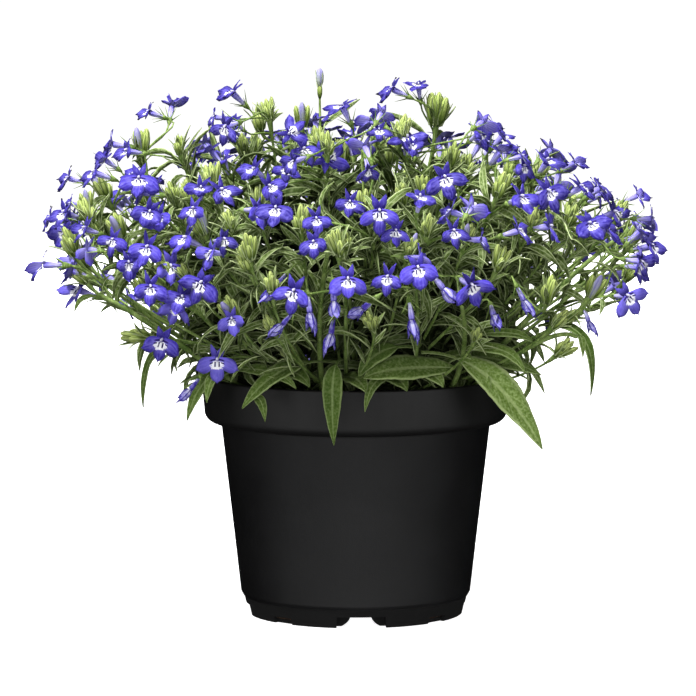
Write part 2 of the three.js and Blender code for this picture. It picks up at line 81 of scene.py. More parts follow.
GAP = 0.3
POT_HEIGHT = 93.3
RIM_RADIUS = 60.0
RIM_WALL = 1.5
SOIL_TOP = 84.0
SOIL_CROWN = 1.5
VIEWER = Vector((-3, -1800, 292.7))
DOME_CENTRE = Vector((0, 0, 143))
DOME_HALF_WIDTH = 122.0
DOME_HALF_DEPTH = 116.0
DOME_RISE = 66.0
DOME_DROP = 42.0
# The core of the plant that painted shade darkens: its half sizes and middle height, and the shares of
# distance from its middle where the painted shade starts and where it is full.
INSIDE_HALF = (110.0, 106.0, 80.0)
INSIDE_CENTRE_Z = 116.0
INSIDE_LIGHT = 0.78
INSIDE_DARK = 0.5
SHOOT_RADIUS = 0.95
TIP_LEAD = 9.0
BRANCH_LEAD = 0.25
BRANCH_RISE = 0.4
BRANCH_SLANT = 0.7
BRANCH_ZONE = (0.22, 0.86)
TUBE_LENGTH = 7.0
CALYX_LENGTH = 3.4
FLOWER_LENGTH = TUBE_LENGTH + CALYX_LENGTH
BUD_LENGTH = 11.0
LEAF_STALK_WIDTH = 1.2


def paint(red: int, green: int, blue: int) -> Paint:
    """A screen colour, 0 to 255 a channel, as the linear colour and full alpha that a shader takes."""
    linear = [
        share / 12.92 if share <= 0.04045 else ((share + 0.055) / 1.055) ** 2.4
        for share in (red / 255, green / 255, blue / 255)
    ]
    return (*linear, 1.0)


# ---------------- shader nodes


@dataclass(frozen=True)
class Value:
    """A number that varies over a surface; its operators add Math nodes."""

    nodes: Nodes
    socket: Socket

    def __add__(self, other: Value | float) -> Value:
        """This number plus another."""
        return self.nodes.math("ADD", self, other)

    __radd__ = __add__

    def __sub__(self, other: Value | float) -> Value:
        """This number less another."""
        return self.nodes.math("SUBTRACT", self, other)

    def __rsub__(self, other: Value | float) -> Value:
        """Another number less this one."""
        return self.nodes.math("SUBTRACT", other, self)

    def __mul__(self, other: Value | float) -> Value:
        """This number times another."""
        return self.nodes.math("MULTIPLY", self, other)

    __rmul__ = __mul__

    def __abs__(self) -> Value:
        """This number without its sign."""
        return self.nodes.math("ABSOLUTE", self)

    def rise(self, start: float, end: float) -> Value:
        """A smooth step from 0 at start to 1 at end, which may be lower than start."""
        low, high, first, last = (start, end, 0.0, 1.0) if start < end else (end, start, 1.0, 0.0)
        settings = {"interpolation_type": "SMOOTHSTEP"}
        sockets = {"Value": self, "From Min": low, "From Max": high, "To Min": first, "To Max": last}
        return self.nodes.value(self.nodes.node("ShaderNodeMapRange", settings, sockets).outputs[0])

    def clamped(self) -> Value:
        """This number kept between 0 and 1."""
        return self.nodes.value(self.nodes.node("ShaderNodeClamp", {}, {"Value": self}).outputs[0])


class Nodes:
    """The node tree of one material, with its Principled shader."""

    def __init__(self, name: str, **fixed: float | Paint) -> None:
        """Makes an empty material.

        Args:
            name: The material's name.
            fixed: Values of the shader's own sockets, with _ for a space in their names.
        """
        self.material = bpy.data.materials.new(name)
        self.material.use_nodes = True
        self.tree = self.material.node_tree
        self.shader = next(n for n in self.tree.nodes if n.type == "BSDF_PRINCIPLED")
        for socket, value in fixed.items():
            self.shader.inputs[socket.replace("_", " ")].default_value = value

    def node(
        self, kind: str, settings: dict[str, object], sockets: dict[str | int, object]
    ) -> bpy.types.Node:
        """Adds a node.

        Args:
            kind: The node's type.
            settings: Its properties, set first.
            sockets: Values or links of its inputs, by name or number.

        Returns:
            The node.
        """
        made = self.tree.nodes.new(kind)
        for name, setting in settings.items():
            setattr(made, name, setting)
        for key, value in sockets.items():
            self.feed(made.inputs[key], value)
        return made

    def feed(self, target: Socket, value: object) -> None:
        """Links a socket or Value to an input, or sets a plain value there."""
        if isinstance(value, Value):
            value = value.socket
        if isinstance(value, Socket):
            self.tree.links.new(value, target)
        else:
            target.default_value = value

    def value(self, socket: Socket) -> Value:
        """Wraps a socket of this tree."""
        return Value(self, socket)

    def math(self, operation: str, *values: Value | float) -> Value:
        """A Math node's result."""
        made = self.node("ShaderNodeMath", {"operation": operation}, dict(enumerate(values)))
        return self.value(made.outputs[0])

    def mix(self, share: Value | float, first: object, second: object) -> Socket:
        """A colour between two others: share 0 gives the first and 1 the second."""
        sockets = {0: share, 6: first, 7: second}
        return self.node("ShaderNodeMix", {"data_type": "RGBA"}, sockets).outputs[2]

    def place(self, stretch: Sequence[float] = (1, 1, 1)) -> Socket:
        """Object coordinates in millimetres, stretched along each axis."""
        where = self.node("ShaderNodeTexCoord", {}, {}).outputs["Object"]
        scale = tuple(share / MM for share in stretch)
        return self.node("ShaderNodeMapping", {}, {"Vector": where, "Scale": scale}).outputs[0]

    def height(self) -> Value:
        """Height above the ground in millimetres."""
        return self.value(self.node("ShaderNodeSeparateXYZ", {}, {0: self.place()}).outputs[2])

    def noise(self, size: float, detail: float = 2.0, stretch: Sequence[float] = (1, 1, 1)) -> Value:
        """Soft noise, mostly between 0.3 and 0.7, that changes over a size in millimetres."""
        sockets = {"Vector": self.place(stretch), "Scale": 1 / size, "Detail": detail}
        return self.value(self.node("ShaderNodeTexNoise", {}, sockets).outputs[0])

    def across_and_along(self, name: str = BLADE_MAP) -> tuple[Value, Value]:
        """The two coordinates of one of the piece's own UV maps."""
        where = self.node("ShaderNodeUVMap", {"uv_map": name}, {}).outputs[0]
        parts = self.node("ShaderNodeSeparateXYZ", {}, {0: where})
        return self.value(parts.outputs[0]), self.value(parts.outputs[1])

    def inside(self) -> Value:
        """How much painted shade a place gets: 1 deep inside the plant to 0 near its surface."""
        scale = tuple(1 / half for half in INSIDE_HALF)
        middle = (0, 0, INSIDE_CENTRE_Z / INSIDE_HALF[2])
        sockets = {0: self.place(scale), 1: middle}
        apart = self.node("ShaderNodeVectorMath", {"operation": "DISTANCE"}, sockets)
        return self.value(apart.outputs["Value"]).rise(INSIDE_LIGHT, INSIDE_DARK)

    def tint(self) -> Value:
        """The number from 0 to 1 that each copy of a shape was given."""
        return self.value(self.node("ShaderNodeAttribute", {"attribute_name": TINT}, {}).outputs["Fac"])

    def finish(self, colour: Socket, roughness: Value | None, relief: Value, depth: float) -> None:
        """Feeds the shader.

        Args:
            colour: Base colour.
            roughness: Roughness, or None to leave it fixed.
            relief: Height of the surface.
            depth: How deep the relief is, in millimetres.
        """
        self.feed(self.shader.inputs["Base Color"], colour)
        if roughness is not None:
            self.feed(self.shader.inputs["Roughness"], roughness)
        lifted = self.node("ShaderNodeBump", {}, {"Height": relief, "Distance": depth * MM})
        self.feed(self.shader.inputs["Normal"], lifted.outputs[0])


# ---------------- finishes


class Finish(Enum):
    """The finishes of the pieces and their parts."""

    POT = "pot_plastic"
    SOIL = "potting_soil"
    STEM = "stem_green"
    LEAF = "leaf_green"
    RIM_LEAF = "rim_leaf_green"
    BUD = "bud_green"
    PALE_BUD = "pale_bud"
    PETAL = "petal_blue"
    PETAL_BACK = "petal_back"
    TUBE = "petal_tube"
    ANTHER = "anther_tip"
    FADED = "petal_faded"


Materials = dict[Finish, Material]


@dataclass(frozen=True)
class PlasticFinish:
    """Black moulded plastic, satin, with faint draw marks and a little dust on its body; its rim band and
    foot ring are painted darker, as painted shade.
    """

    black: Paint = paint(11, 11, 12)
    dusty: Paint = paint(16, 16, 17)
    # near-black of the painted shade on the rim band and the foot ring
    band_and_foot_shade: Paint = paint(2, 2, 2)
    body_top: float = 74.0
    body_foot: float = 7.6
    roughness: float = 0.4
    band_roughness: float = 0.12
    foot_roughness: float = 0.45

    def build(self) -> Material:
        """The material."""
        n = Nodes(Finish.POT.value, Specular_IOR_Level=0.45)
        cloud = n.noise(26, 4)
        marks = n.noise(2.6, 3, (1, 1, 0.05))
        grain = n.noise(0.35, 2)
        height = n.height()
        band = height.rise(self.body_top, self.body_top + 1)
        foot = height.rise(self.body_foot, self.body_foot - 1)
        colour = n.mix(cloud.rise(0.35, 0.75), self.black, self.dusty)
        # painted shade: the rim band and the foot ring are painted nearly black
        colour = n.mix((band + foot) * 0.9, colour, self.band_and_foot_shade)
        roughness = self.roughness + 0.12 * cloud + 0.05 * marks
        roughness = roughness + self.band_roughness * band + self.foot_roughness * foot
        n.finish(colour, roughness, grain * 0.6 + marks * 0.4, 0.06)
        return n.material


@dataclass(frozen=True)
class SoilFinish:
    """Moist peat with bark crumbs."""

    dark: Paint = paint(30, 21, 15)
    brown: Paint = paint(74, 52, 36)
    crumb: Paint = paint(118, 90, 64)

    def build(self) -> Material:
        """The material."""
        n = Nodes(Finish.SOIL.value, Specular_IOR_Level=0.3)
        fine = n.noise(0.8, 5)
        broad = n.noise(5, 3)
        colour = n.mix(broad.rise(0.35, 0.65), self.dark, self.brown)
        colour = n.mix(fine.rise(0.6, 0.72) * 0.6, colour, self.crumb)
        n.finish(colour, 0.8 + 0.2 * fine, fine, 0.6)
        return n.material


@dataclass(frozen=True)
class StemFinish:
    """Light green, faintly ribbed stems, with painted shade that darkens them deep inside the plant."""

    green: Paint = paint(128, 152, 84)
    deep: Paint = paint(84, 110, 48)
    yellow: Paint = paint(180, 198, 118)
    shaded: Paint = paint(40, 52, 22)

    def build(self) -> Material:
        """The material."""
        n = Nodes(Finish.STEM.value, Roughness=0.5, Specular_IOR_Level=0.12)
        patch = n.noise(6, 3)
        ribs = n.noise(0.7, 2, (1, 1, 0.12))
        colour = n.mix(patch.rise(0.35, 0.65), self.deep, self.green)
        colour = n.mix(ribs.rise(0.45, 0.75) * 0.55, colour, self.yellow)
        # painted shade deep inside the plant
        colour = n.mix(n.inside() * 0.6, colour, self.shaded)
        n.finish(colour, 0.42 + 0.25 * ribs, ribs, 0.12)
        return n.material


@dataclass(frozen=True)
class BladeFinish:
    """A leaf: paler midrib, fine side veins, a light edge and a soft mottle, lighter or darker by its
    tint, with painted shade deep inside the plant.
    """

    name: str
    deep: Paint
    green: Paint
    vein: Paint
    side_veins: float = 0.3
    mottle: float = 1.4
    shaded: Paint = paint(14, 22, 7)

    def build(self) -> Material:
        """The material."""
        n = Nodes(self.name, Specular_IOR_Level=0.06)
        across, along = n.across_and_along()
        middle = abs(across - 0.5) * 2
        tint = n.tint()
        mottle = n.noise(self.mottle, 4)
        patch = n.noise(12, 2)
        # the tint: on the shoots' leaves it is painted light and shade from light_at, on other leaves it
        # is given or random
        colour = n.mix((tint * 0.7 + patch * 0.5).clamped(), self.deep, self.green)
        # the pale mottle here and the rib, veins and edge below are stronger for a higher tint, so partly
        # painted light on the shoots' leaves
        colour = n.mix(mottle.rise(0.46, 0.7) * (0.1 + 0.4 * tint), colour, self.vein)
        colour = n.mix(mottle.rise(0.5, 0.34) * 0.35, colour, self.deep)
        rib = middle.rise(0.19, 0.05) * (1 - 0.5 * along)
        slant = n.math("PINGPONG", along * 9 - middle * 1.6, 0.5)
        veins = slant.rise(0.12, 0.02) * self.side_veins
        edge = middle.rise(0.76, 0.94) * (0.25 + 0.6 * tint)
        colour = n.mix((rib * (0.3 + 0.5 * tint) + veins * tint + edge).clamped(), colour, self.vein)
        # painted shade deep inside the plant
        colour = n.mix(n.inside() * 0.9, colour, self.shaded)
        n.finish(colour, 0.5 + 0.2 * mottle, mottle * 0.5 - rib * 0.6 - veins, 0.16)
        return n.material


@dataclass(frozen=True)
class PetalFinish:
    """Violet-blue velvet: a white eye with dark marks at the root, fine veins towards the tip, and painted
    light that makes flowers low down paler.
    """

    blue: Paint = paint(75, 61, 188)
    deep: Paint = paint(30, 21, 104)
    light: Paint = paint(130, 122, 220)
    white: Paint = paint(248, 248, 255)
    mark: Paint = paint(30, 14, 92)
    upper_lobes: Range = (3.4, 3.6)
    eye_low: float = 1.7
    eye_across: float = 0.16
    eye_along: float = 0.38
    eye_edge: Range = (1.08, 0.88)
    glow_edge: Range = (2.1, 0.9)
    spot_side: float = 0.72

    def build(self) -> Material:
        """The material. On the blade map, along runs from 0 at the mouth to 1 at a lobe's tip, and
        across is 0 to 1 on the middle lobe, 2 to 3 on the side lobes and 4 to 5 on the upper ones.
        The lip map holds the place on the flat lip in millimetres from the middle of the mouth."""
        n = Nodes(Finish.PETAL.value, Roughness=0.55, Specular_IOR_Level=0.12, Sheen_Weight=0.04)
        across, along = n.across_and_along()
        x, y = n.across_and_along(LIP_MAP)
        wide = abs(x)
        tint = n.tint()
        upper = across.rise(*self.upper_lobes)
        side = n.math("FRACT", across * 0.5 - upper * 2) * 2
        centred = abs(side - 0.5) * 2
        veins = n.math("PINGPONG", side * 7, 0.5).rise(0.14, 0.02)
        soft = n.noise(2.0, 3)
        fine = n.noise(0.8, 3)
        # the tint: a random tone plus painted light, higher on flowers low down, so these are painted
        # bluer and paler
        colour = n.mix((tint * 0.7 + soft * 0.8 + fine * 0.5 - 0.4).clamped(), self.deep, self.blue)
        colour = n.mix(soft.rise(0.48, 0.75) * 0.5 * centred.rise(1.0, 0.2), colour, self.light)
        streaks = n.math("PINGPONG", side * 4 + soft * 1.5, 0.5).rise(0.3, 0.1)
        colour = n.mix(streaks * 0.2 * along.rise(0.1, 0.5), colour, self.light)
        colour = n.mix(veins * 0.32 * along.rise(1.0, 0.4), colour, self.deep)
        # painted light: the highest tints, mostly on flowers low down, are painted paler
        colour = n.mix(tint.rise(0.8, 1.0) * 0.35, colour, self.light)
        colour = n.mix(upper * (0.3 + along.rise(0.8, 0.1) * 0.5), colour, self.deep)
        low = y + self.eye_low
        spread = n.math("SQRT", wide * wide * self.eye_across + low * low * self.eye_along)
        reach = spread + (soft - 0.5) * 0.8 + (fine - 0.5) * 0.7 + veins * 0.24
        colour = n.mix(reach.rise(*self.glow_edge) * 0.45 * (1 - upper), colour, self.light)
        colour = n.mix(reach.rise(*self.eye_edge) * (1 - upper), colour, self.white)
        pair = abs(wide - self.spot_side).rise(0.36, 0.18) * y.rise(-0.35, -0.6) * y.rise(-2.6, -2.1)
        slant = abs(y + 0.34 * wide + 0.3).rise(0.34, 0.16)
        slant = slant * wide.rise(1.3, 1.6) * wide.rise(2.8, 2.4)
        brow = abs(y - 0.3 + 0.07 * wide * wide).rise(0.42, 0.16) * wide.rise(3.0, 2.0)
        colour = n.mix((pair + slant + brow).clamped() * (1 - upper), colour, self.mark)
        n.finish(colour, None, veins * 0.6 + soft, 0.1)
        return n.material


@dataclass(frozen=True)
class BudFinish:
    """A closed bud: green at its foot, yellow-green above, with darker seams along it."""

    foot: Paint = paint(70, 92, 34)
    green: Paint = paint(146, 168, 78)
    tip: Paint = paint(192, 206, 126)

    def build(self) -> Material:
        """The material."""
        n = Nodes(Finish.BUD.value, Roughness=0.5, Specular_IOR_Level=0.2)
        across, along = n.across_and_along()
        soft = n.noise(1.6, 3)
        seams = n.math("PINGPONG", across * 5, 0.5).rise(0.2, 0.04)
        colour = n.mix((along * 1.6 - 0.3 + soft * 0.4).clamped(), self.foot, self.green)
        colour = n.mix((along * 1.3 - 0.75 + n.tint() * 0.5).clamped(), colour, self.tip)
        colour = n.mix(seams * 0.8, colour, self.foot)
        n.finish(colour, None, soft - seams, 0.14)
        return n.material


@dataclass(frozen=True)
class VeinedFinish:
    """A pale surface with darker veins along it, such as a petal's back, a tube or a young bud."""

    name: str
    paints: tuple[Paint, Paint, Paint]
    veins: float
    strength: float
    edge: float = 0.0

    def build(self) -> Material:
        """The material, from paints for its root, its veins and its far end."""
        pale, vein, far = self.paints
        n = Nodes(self.name, Roughness=0.6, Specular_IOR_Level=0.1)
        across, along = n.across_and_along()
        soft = n.noise(1.8, 2)
        stripe = n.math("PINGPONG", across * self.veins, 0.5).rise(0.22, 0.03)
        colour = n.mix((along + soft * 0.6 - 0.2).clamped(), pale, far)
        # veins fainter for a higher tint; on flowers the tint holds painted light, higher low down
        colour = n.mix(stripe * self.strength * (1 - n.tint() * 0.4), colour, vein)
        centred = abs(n.math("FRACT", across * 0.5) * 2 - 0.5) * 2
        edge = centred.rise(0.5, 1.0) * self.edge + soft.rise(0.5, 0.62) * self.edge * 0.5
        colour = n.mix(edge.clamped(), colour, vein)
        n.finish(colour, None, soft - stripe * 0.5, 0.06)
        return n.material


class Builder(Protocol):
    """A finish that can make its material."""

    def build(self) -> Material:
        """The material."""


def finishes() -> dict[Finish, Builder]:
    """Every finish of the object."""
    leaf_paints = (paint(16, 29, 4), paint(106, 130, 60), paint(196, 210, 156))
    rim_paints = (paint(34, 56, 8), paint(126, 154, 74), paint(190, 208, 144))
    made = {
        Finish.POT: PlasticFinish(),
        Finish.SOIL: SoilFinish(),
        Finish.STEM: StemFinish(),
        Finish.LEAF: BladeFinish(Finish.LEAF.value, *leaf_paints),
        Finish.RIM_LEAF: BladeFinish(Finish.RIM_LEAF.value, *rim_paints, side_veins=0.22, mottle=1.0),
        Finish.BUD: BudFinish(),
        Finish.PETAL: PetalFinish(),
    }
    # Colours of the root, the veins and the far end, number and strength of veins, ragged edge.
    veined = {
        Finish.PALE_BUD: ((168, 182, 136), (84, 78, 156), (158, 154, 204), 3, 0.6),
        Finish.PETAL_BACK: ((166, 160, 226), (62, 50, 158), (90, 77, 190), 5, 0.5),
        Finish.TUBE: ((206, 202, 240), (84, 74, 182), (136, 128, 222), 5, 0.5),
        Finish.ANTHER: ((76, 66, 150), (60, 50, 120), (206, 204, 226), 5, 0.2),
        Finish.FADED: ((236, 236, 250), (64, 50, 160), (140, 132, 222), 6, 0.7, 0.9),
    }
    for finish, (root, vein, far, *rest) in veined.items():
        made[finish] = VeinedFinish(finish.value, (paint(*root), paint(*vein), paint(*far)), *rest)
    return made


# ---------------- meshes


@dataclass(frozen=True)
class Bend:
    """A Bezier curve through space."""

    knots: tuple[Vector, ...]
    nudge: float = 0.01
    steps: int = 24

    def point(self, share: float) -> Vector:
        """The place at a share from 0 to 1 of the curve."""
        points = list(self.knots)
        while len(points) > 1:
            points = [first.lerp(second, share) for first, second in zip(points, points[1:], strict=False)]
        return points[0]

    def tangent(self, share: float) -> Vector:
        """The curve's direction at a share."""
        low, high = max(share - self.nudge, 0.0), min(share + self.nudge, 1.0)
        return (self.point(high) - self.point(low)).normalized()

    def length(self) -> float:
        """The curve's length."""
        places = [self.point(step / self.steps) for step in range(self.steps + 1)]
        return sum((b - a).length for a, b in zip(places, places[1:], strict=False))


def sheet(
    columns: int,
    rows: int,
    thickness: float,
    surface: Callable[[float, float], Vector],
    faces: tuple[int, int],
    shift: float = 0.0,
    flip: bool = False,
) -> Shape:
    """A thin closed blade bent from a flat grid.

    Args:
        columns: Faces across.
        rows: Faces along.
        thickness: The blade's thickness.
        surface: Gives the place of a share across and a share along, both 0 to 1.
        faces: Material numbers of its front and its back.
        shift: Added to the map's first coordinate.
        flip: Whether the map runs the other way across.

    Returns:
        The blade, with its map.
    """
    bm = bmesh.new()
    layer = bm.loops.layers.uv.new(BLADE_MAP)
    bmesh.ops.create_grid(bm, x_segments=columns, y_segments=rows, size=0.5, calc_uvs=True)
    bmesh.ops.solidify(bm, geom=bm.faces[:], thickness=1.0)
    for face in bm.faces:
        face.smooth = True
        face.material_index = faces[0] if face.normal.z > 0.5 else faces[1]
        for loop in face.loops:
            across, along = loop[layer].uv
            loop[layer].uv = (shift + (1 - across if flip else across), along)
    step = 0.01
    for vertex in bm.verts:
        across = min(max(vertex.co.x + 0.5, 0), 1)
        along = min(max(vertex.co.y + 0.5, 0), 1)
        side = surface(min(across + step, 1), along) - surface(max(across - step, 0), along)
        way = surface(across, min(along + step, 1)) - surface(across, max(along - step, 0))
        normal = side.cross(way)
        height = (vertex.co.z + 0.5) * thickness
        lift = normal.normalized() * height if normal.length > 0 else Vector()
        vertex.co = surface(across, along) + lift
    return bm


def rounded(sides: int, profile: Sequence[Range], material: int = 0) -> Shape:
    """A closed round shape about Z whose map runs around and along it.

    Args:
        sides: Faces around.
        profile: Radius and height of each ring, starting and ending on the axis.
        material: Its material number.

    Returns:
        The shape.
    """
    bm = bmesh.new()
    layer = bm.loops.layers.uv.new(BLADE_MAP)
    chain = [bm.verts.new((radius, 0, height)) for radius, height in profile]
    edges = [bm.edges.new(pair) for pair in zip(chain, chain[1:], strict=False)]
    full = 2 * math.pi
    bmesh.ops.spin(bm, geom=chain + edges, axis=UP, angle=full, steps=sides, use_merge=True)
    bmesh.ops.remove_doubles(bm, verts=bm.verts[:], dist=0.001)
    bmesh.ops.recalc_face_normals(bm, faces=bm.faces[:])
    low = min(height for _, height in profile)
    high = max(height for _, height in profile)
    for face in bm.faces:
        face.smooth = True
        face.material_index = material
        centre = face.calc_center_median()
        middle = math.atan2(centre.y, centre.x)
        for loop in face.loops:
            turn = math.atan2(loop.vert.co.y, loop.vert.co.x)
            turn += full * round((middle - turn) / full)
            along = (loop.vert.co.z - low) / (high - low)
            loop[layer].uv = (turn / full + 0.5, along)
    return bm


def stamp(name: str, parts: Iterable[Shape]) -> Mesh:
    """One mesh from several shapes, ready to be copied."""
    whole = bmesh.new()
    for part in parts:
        mesh = bpy.data.meshes.new(name)
        part.to_mesh(mesh)
        part.free()
        whole.from_mesh(mesh)
        bpy.data.meshes.remove(mesh)
    made = bpy.data.meshes.new(name)
    whole.to_mesh(made)
    whole.free()
    made.attributes.new(TINT, "FLOAT", "POINT")
    return made


def moved(bm: Shape, place: Matrix) -> Shape:
    """The same shape, moved."""
    bmesh.ops.transform(bm, matrix=place, verts=bm.verts[:])
    return bm


def turned(degrees: float, axis: str = "Z") -> Matrix:
    """A turn about an axis through the origin."""
    return Matrix.Rotation(math.radians(degrees), 4, axis)


def around(angle: float, radius: float = 1.0, height: float = 0.0) -> Vector:
    """A place at an angle about the Z axis, in radians from +X towards +Y."""
    return Vector((radius * math.cos(angle), radius * math.sin(angle), height))


def kept(number: float, low: float = 0.0, high: float = 1.0) -> float:
    """A number kept between two others."""
    return min(max(number, low), high)


def placed(name: str, data: bpy.types.ID) -> bpy.types.Object:
    """A new object in the scene."""
    made = bpy.data.objects.new(name, data)
    bpy.context.scene.collection.objects.link(made)
    return made


def cone(length: float, foot: float, tip: float) -> Shape:
    """A thin three-sided sepal about the origin that narrows upwards, with an empty map."""
    bm = bmesh.new()
    bmesh.ops.create_cone(
        bm, cap_ends=True, segments=3, radius1=foot, radius2=tip, depth=length, calc_uvs=False
    )
    bm.loops.layers.uv.new(BLADE_MAP)
    return bm


class Piece:
    """A named piece that gathers copies of small shapes into one mesh."""

    def __init__(self, name: str, slot: Finish, finishes: Sequence[Finish], *nodes: str) -> None:
        """Starts an empty piece.

        Args:
            name: Its name.
            slot: The record's material slot.
            finishes: Its materials, in the order of their numbers.
            nodes: The frame's nodes that it stands for.
        """
        self.name = name
        self.slot = slot
        self.finishes = finishes
        self.nodes = nodes
        self.bm = bmesh.new()

    def add(self, shape: Mesh, place: Matrix, tint: float = 0.5) -> None:
        """Adds a moved copy of a shape."""
        copy = shape.copy()
        copy.transform(place)
        if TINT not in copy.attributes:
            copy.attributes.new(TINT, "FLOAT", "POINT")
        copy.attributes[TINT].data.foreach_set("value", [tint] * len(copy.vertices))
        self.bm.from_mesh(copy)
        bpy.data.meshes.remove(copy)

    def tube(self, places: Sequence[Vector], radii: Sequence[float], tint: float) -> None:
        """Adds a closed tube.

        Args:
            places: Points of its middle line.
            radii: Its radius at each point.
            tint: Its tint.
        """
        curve = bpy.data.curves.new(self.name, "CURVE")
        curve.dimensions = "3D"
        curve.bevel_depth = 1.0
        curve.bevel_resolution = 1
        curve.use_fill_caps = True
        spline = curve.splines.new("POLY")
        spline.points.add(len(places) - 1)
        for knot, place, radius in zip(spline.points, places, radii, strict=True):
            knot.co = (*place, 1)
            knot.radius = radius
        holder = bpy.data.objects.new(self.name, curve)
        mesh = bpy.data.meshes.new_from_object(holder)
        for layer in list(mesh.uv_layers):
            layer.name = BLADE_MAP
        mesh.polygons.foreach_set("use_smooth", [True] * len(mesh.polygons))
        self.add(mesh, Matrix(), tint)
        bpy.data.meshes.remove(mesh)
        bpy.data.objects.remove(holder)
        bpy.data.curves.remove(curve)

    def finish(self, materials: Materials) -> bpy.types.Object:
        """Makes the object and rides it on the body.

        Args:
            materials: The object's materials.

        Returns:
            The finished object.
        """
        mesh = bpy.data.meshes.new(self.name)
        self.bm.to_mesh(mesh)
        self.bm.free()
        mesh.transform(Matrix.Scale(MM, 4))
        return dressed(self.name, mesh, [materials[f] for f in self.finishes], self.slot, self.nodes)


def dressed(
    name: str, mesh: Mesh, materials: list[Material], slot: Finish, nodes: Sequence[str]
) -> bpy.types.Object:
    """A mesh in metres as a piece of the object.

    Args:
        name: The piece's name.
        mesh: Its mesh.
        materials: Its materials.
        slot: The material slot; not used.
        nodes: The frame's nodes that it stands for.

    Returns:
        The piece.
    """
    mesh.name = name
    for material in materials:
        mesh.materials.append(material)
    piece = placed(name, mesh)
    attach(piece, BODY)
    if nodes:
        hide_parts(*nodes)
    LOG.info("%s: %d faces", name, len(mesh.polygons))
    return piece


# ---------------- places on the dome


def sighted(across: float, up: float, depth: float) -> Vector:
    """The point with y = depth that is seen at a place across and up on the plane y = 0."""
    share = (depth - VIEWER.y) / -VIEWER.y
    return Vector((VIEWER.x + (across - VIEWER.x) * share, depth, VIEWER.z + (up - VIEWER.z) * share))


def seen(place: Vector) -> Vector:
    """Where a point is seen on the plane y = 0: across and up."""
    share = -VIEWER.y / (place.y - VIEWER.y)
    return Vector((VIEWER.x + (place.x - VIEWER.x) * share, VIEWER.z + (place.z - VIEWER.z) * share))


def dome_rise(height: float) -> float:
    """The dome's half height, which is less below its centre than above it."""
    return DOME_RISE if height > DOME_CENTRE.z else DOME_DROP


def dome_scale(height: float) -> Vector:
    """What distances from the dome's centre are multiplied by to be shares of its size."""
    return Vector((1 / DOME_HALF_WIDTH, 1 / DOME_HALF_DEPTH, 1 / dome_rise(height)))


def on_dome_front(across: float, up: float, behind: float = 0.0) -> Vector:
    """Where the line of sight through a seen place meets the front of the dome, or passes closest.

    Args:
        across: Where it is seen, to the right.
        up: Where it is seen, upwards.
        behind: How much further back the point lies.

    Returns:
        The point.
    """
    start = sighted(across, up, 0)
    slope = sighted(across, up, 1) - start
    scale = dome_scale(start.z)
    centred = (start - DOME_CENTRE) * scale
    along = slope * scale
    a = along.dot(along)
    b = centred.dot(along)
    spare = b * b - a * (centred.dot(centred) - 1)
    return sighted(across, up, (-b - math.sqrt(max(spare, 0))) / a + behind)


def on_dome_around(azimuth: float, height: float, share: float = 1.0) -> Vector:
    """A point on the dome at an azimuth, counted from +X towards +Y, and a height.

    Args:
        azimuth: Degrees around.
        height: Its z.
        share: Below 1, how far out towards the dome it lies.

    Returns:
        The point.
    """
    lifted = (height - DOME_CENTRE.z) / dome_rise(height)
    spread = share * math.sqrt(max(1 - lifted**2, 0))
    angle = math.radians(azimuth)
    x = DOME_HALF_WIDTH * spread * math.cos(angle)
    y = DOME_HALF_DEPTH * spread * math.sin(angle)
    return Vector((x, y, height))


def facing(turn: float, pitch: float, roll: float = 0.0) -> Matrix:
    """Turns +Z to a way out and +Y to the upper side.

    Args:
        turn: Degrees from the front towards +X.
        pitch: Degrees upwards.
        roll: Degrees that the upper side tips to the right.

    Returns:
        The rotation.
    """
    a, b, c = (math.radians(degrees) for degrees in (turn, pitch, roll))
    out = Vector((math.sin(a) * math.cos(b), -math.cos(a) * math.cos(b), math.sin(b)))
    right = UP.cross(out).normalized()
    side = right * math.cos(c) - out.cross(right) * math.sin(c)
    return Matrix((side, out.cross(side), out)).transposed()


def grown_along(way: Vector, face: Vector) -> Matrix:
    """Turns +Y to a way and +Z as near as it can to a face's direction."""
    side = way.cross(face).normalized()
    return Matrix((side, way, side.cross(way))).transposed()


# ---------------- blooms and shoots


class Kind(Enum):
    """What ends a stem."""

    FLOWER = "flower"
    TUFT = "tuft"


@dataclass(frozen=True)
class Bloom:
    """A flower, placed by its mouth, or a tuft of buds, placed by its top."""

    kind: Kind
    mouth: Vector
    pose: Matrix
    cup: float = 12.0
    size: float = 1.0

    def length(self) -> float:
        """From its heel to its mouth or top."""
        return self.size * (FLOWER_LENGTH if self.kind is Kind.FLOWER else BUD_LENGTH)

    def heel(self, spare: float = 0.0) -> Vector:
        """Where its stalk ends, or a point further back on its axis."""
        return self.mouth - self.pose.col[2] * (self.length() + spare)

    def place(self, start: Vector) -> Matrix:
        """Moves a shape from the origin to a start point in this bloom's pose and size."""
        return Matrix.Translation(start) @ self.pose.to_4x4() @ Matrix.Scale(self.size, 4)


def flower(
    across: float,
    up: float,
    turn: float = 0.0,
    pitch: float = 10.0,
    roll: float = 0.0,
    cup: float = 12.0,
    depth: float | None = None,
) -> Bloom:
    """A flower whose mouth is seen at a place, on the dome or at a depth."""
    mouth = on_dome_front(across, up) if depth is None else sighted(across, up, depth)
    return Bloom(Kind.FLOWER, mouth, facing(turn, pitch, roll), cup)


def outer_flower(azimuth: float, height: float, pitch: float = 15.0, roll: float = 0.0) -> Bloom:
    """A flower that faces straight out of the dome."""
    return Bloom(Kind.FLOWER, on_dome_around(azimuth, height), facing(azimuth + 90, pitch, roll))


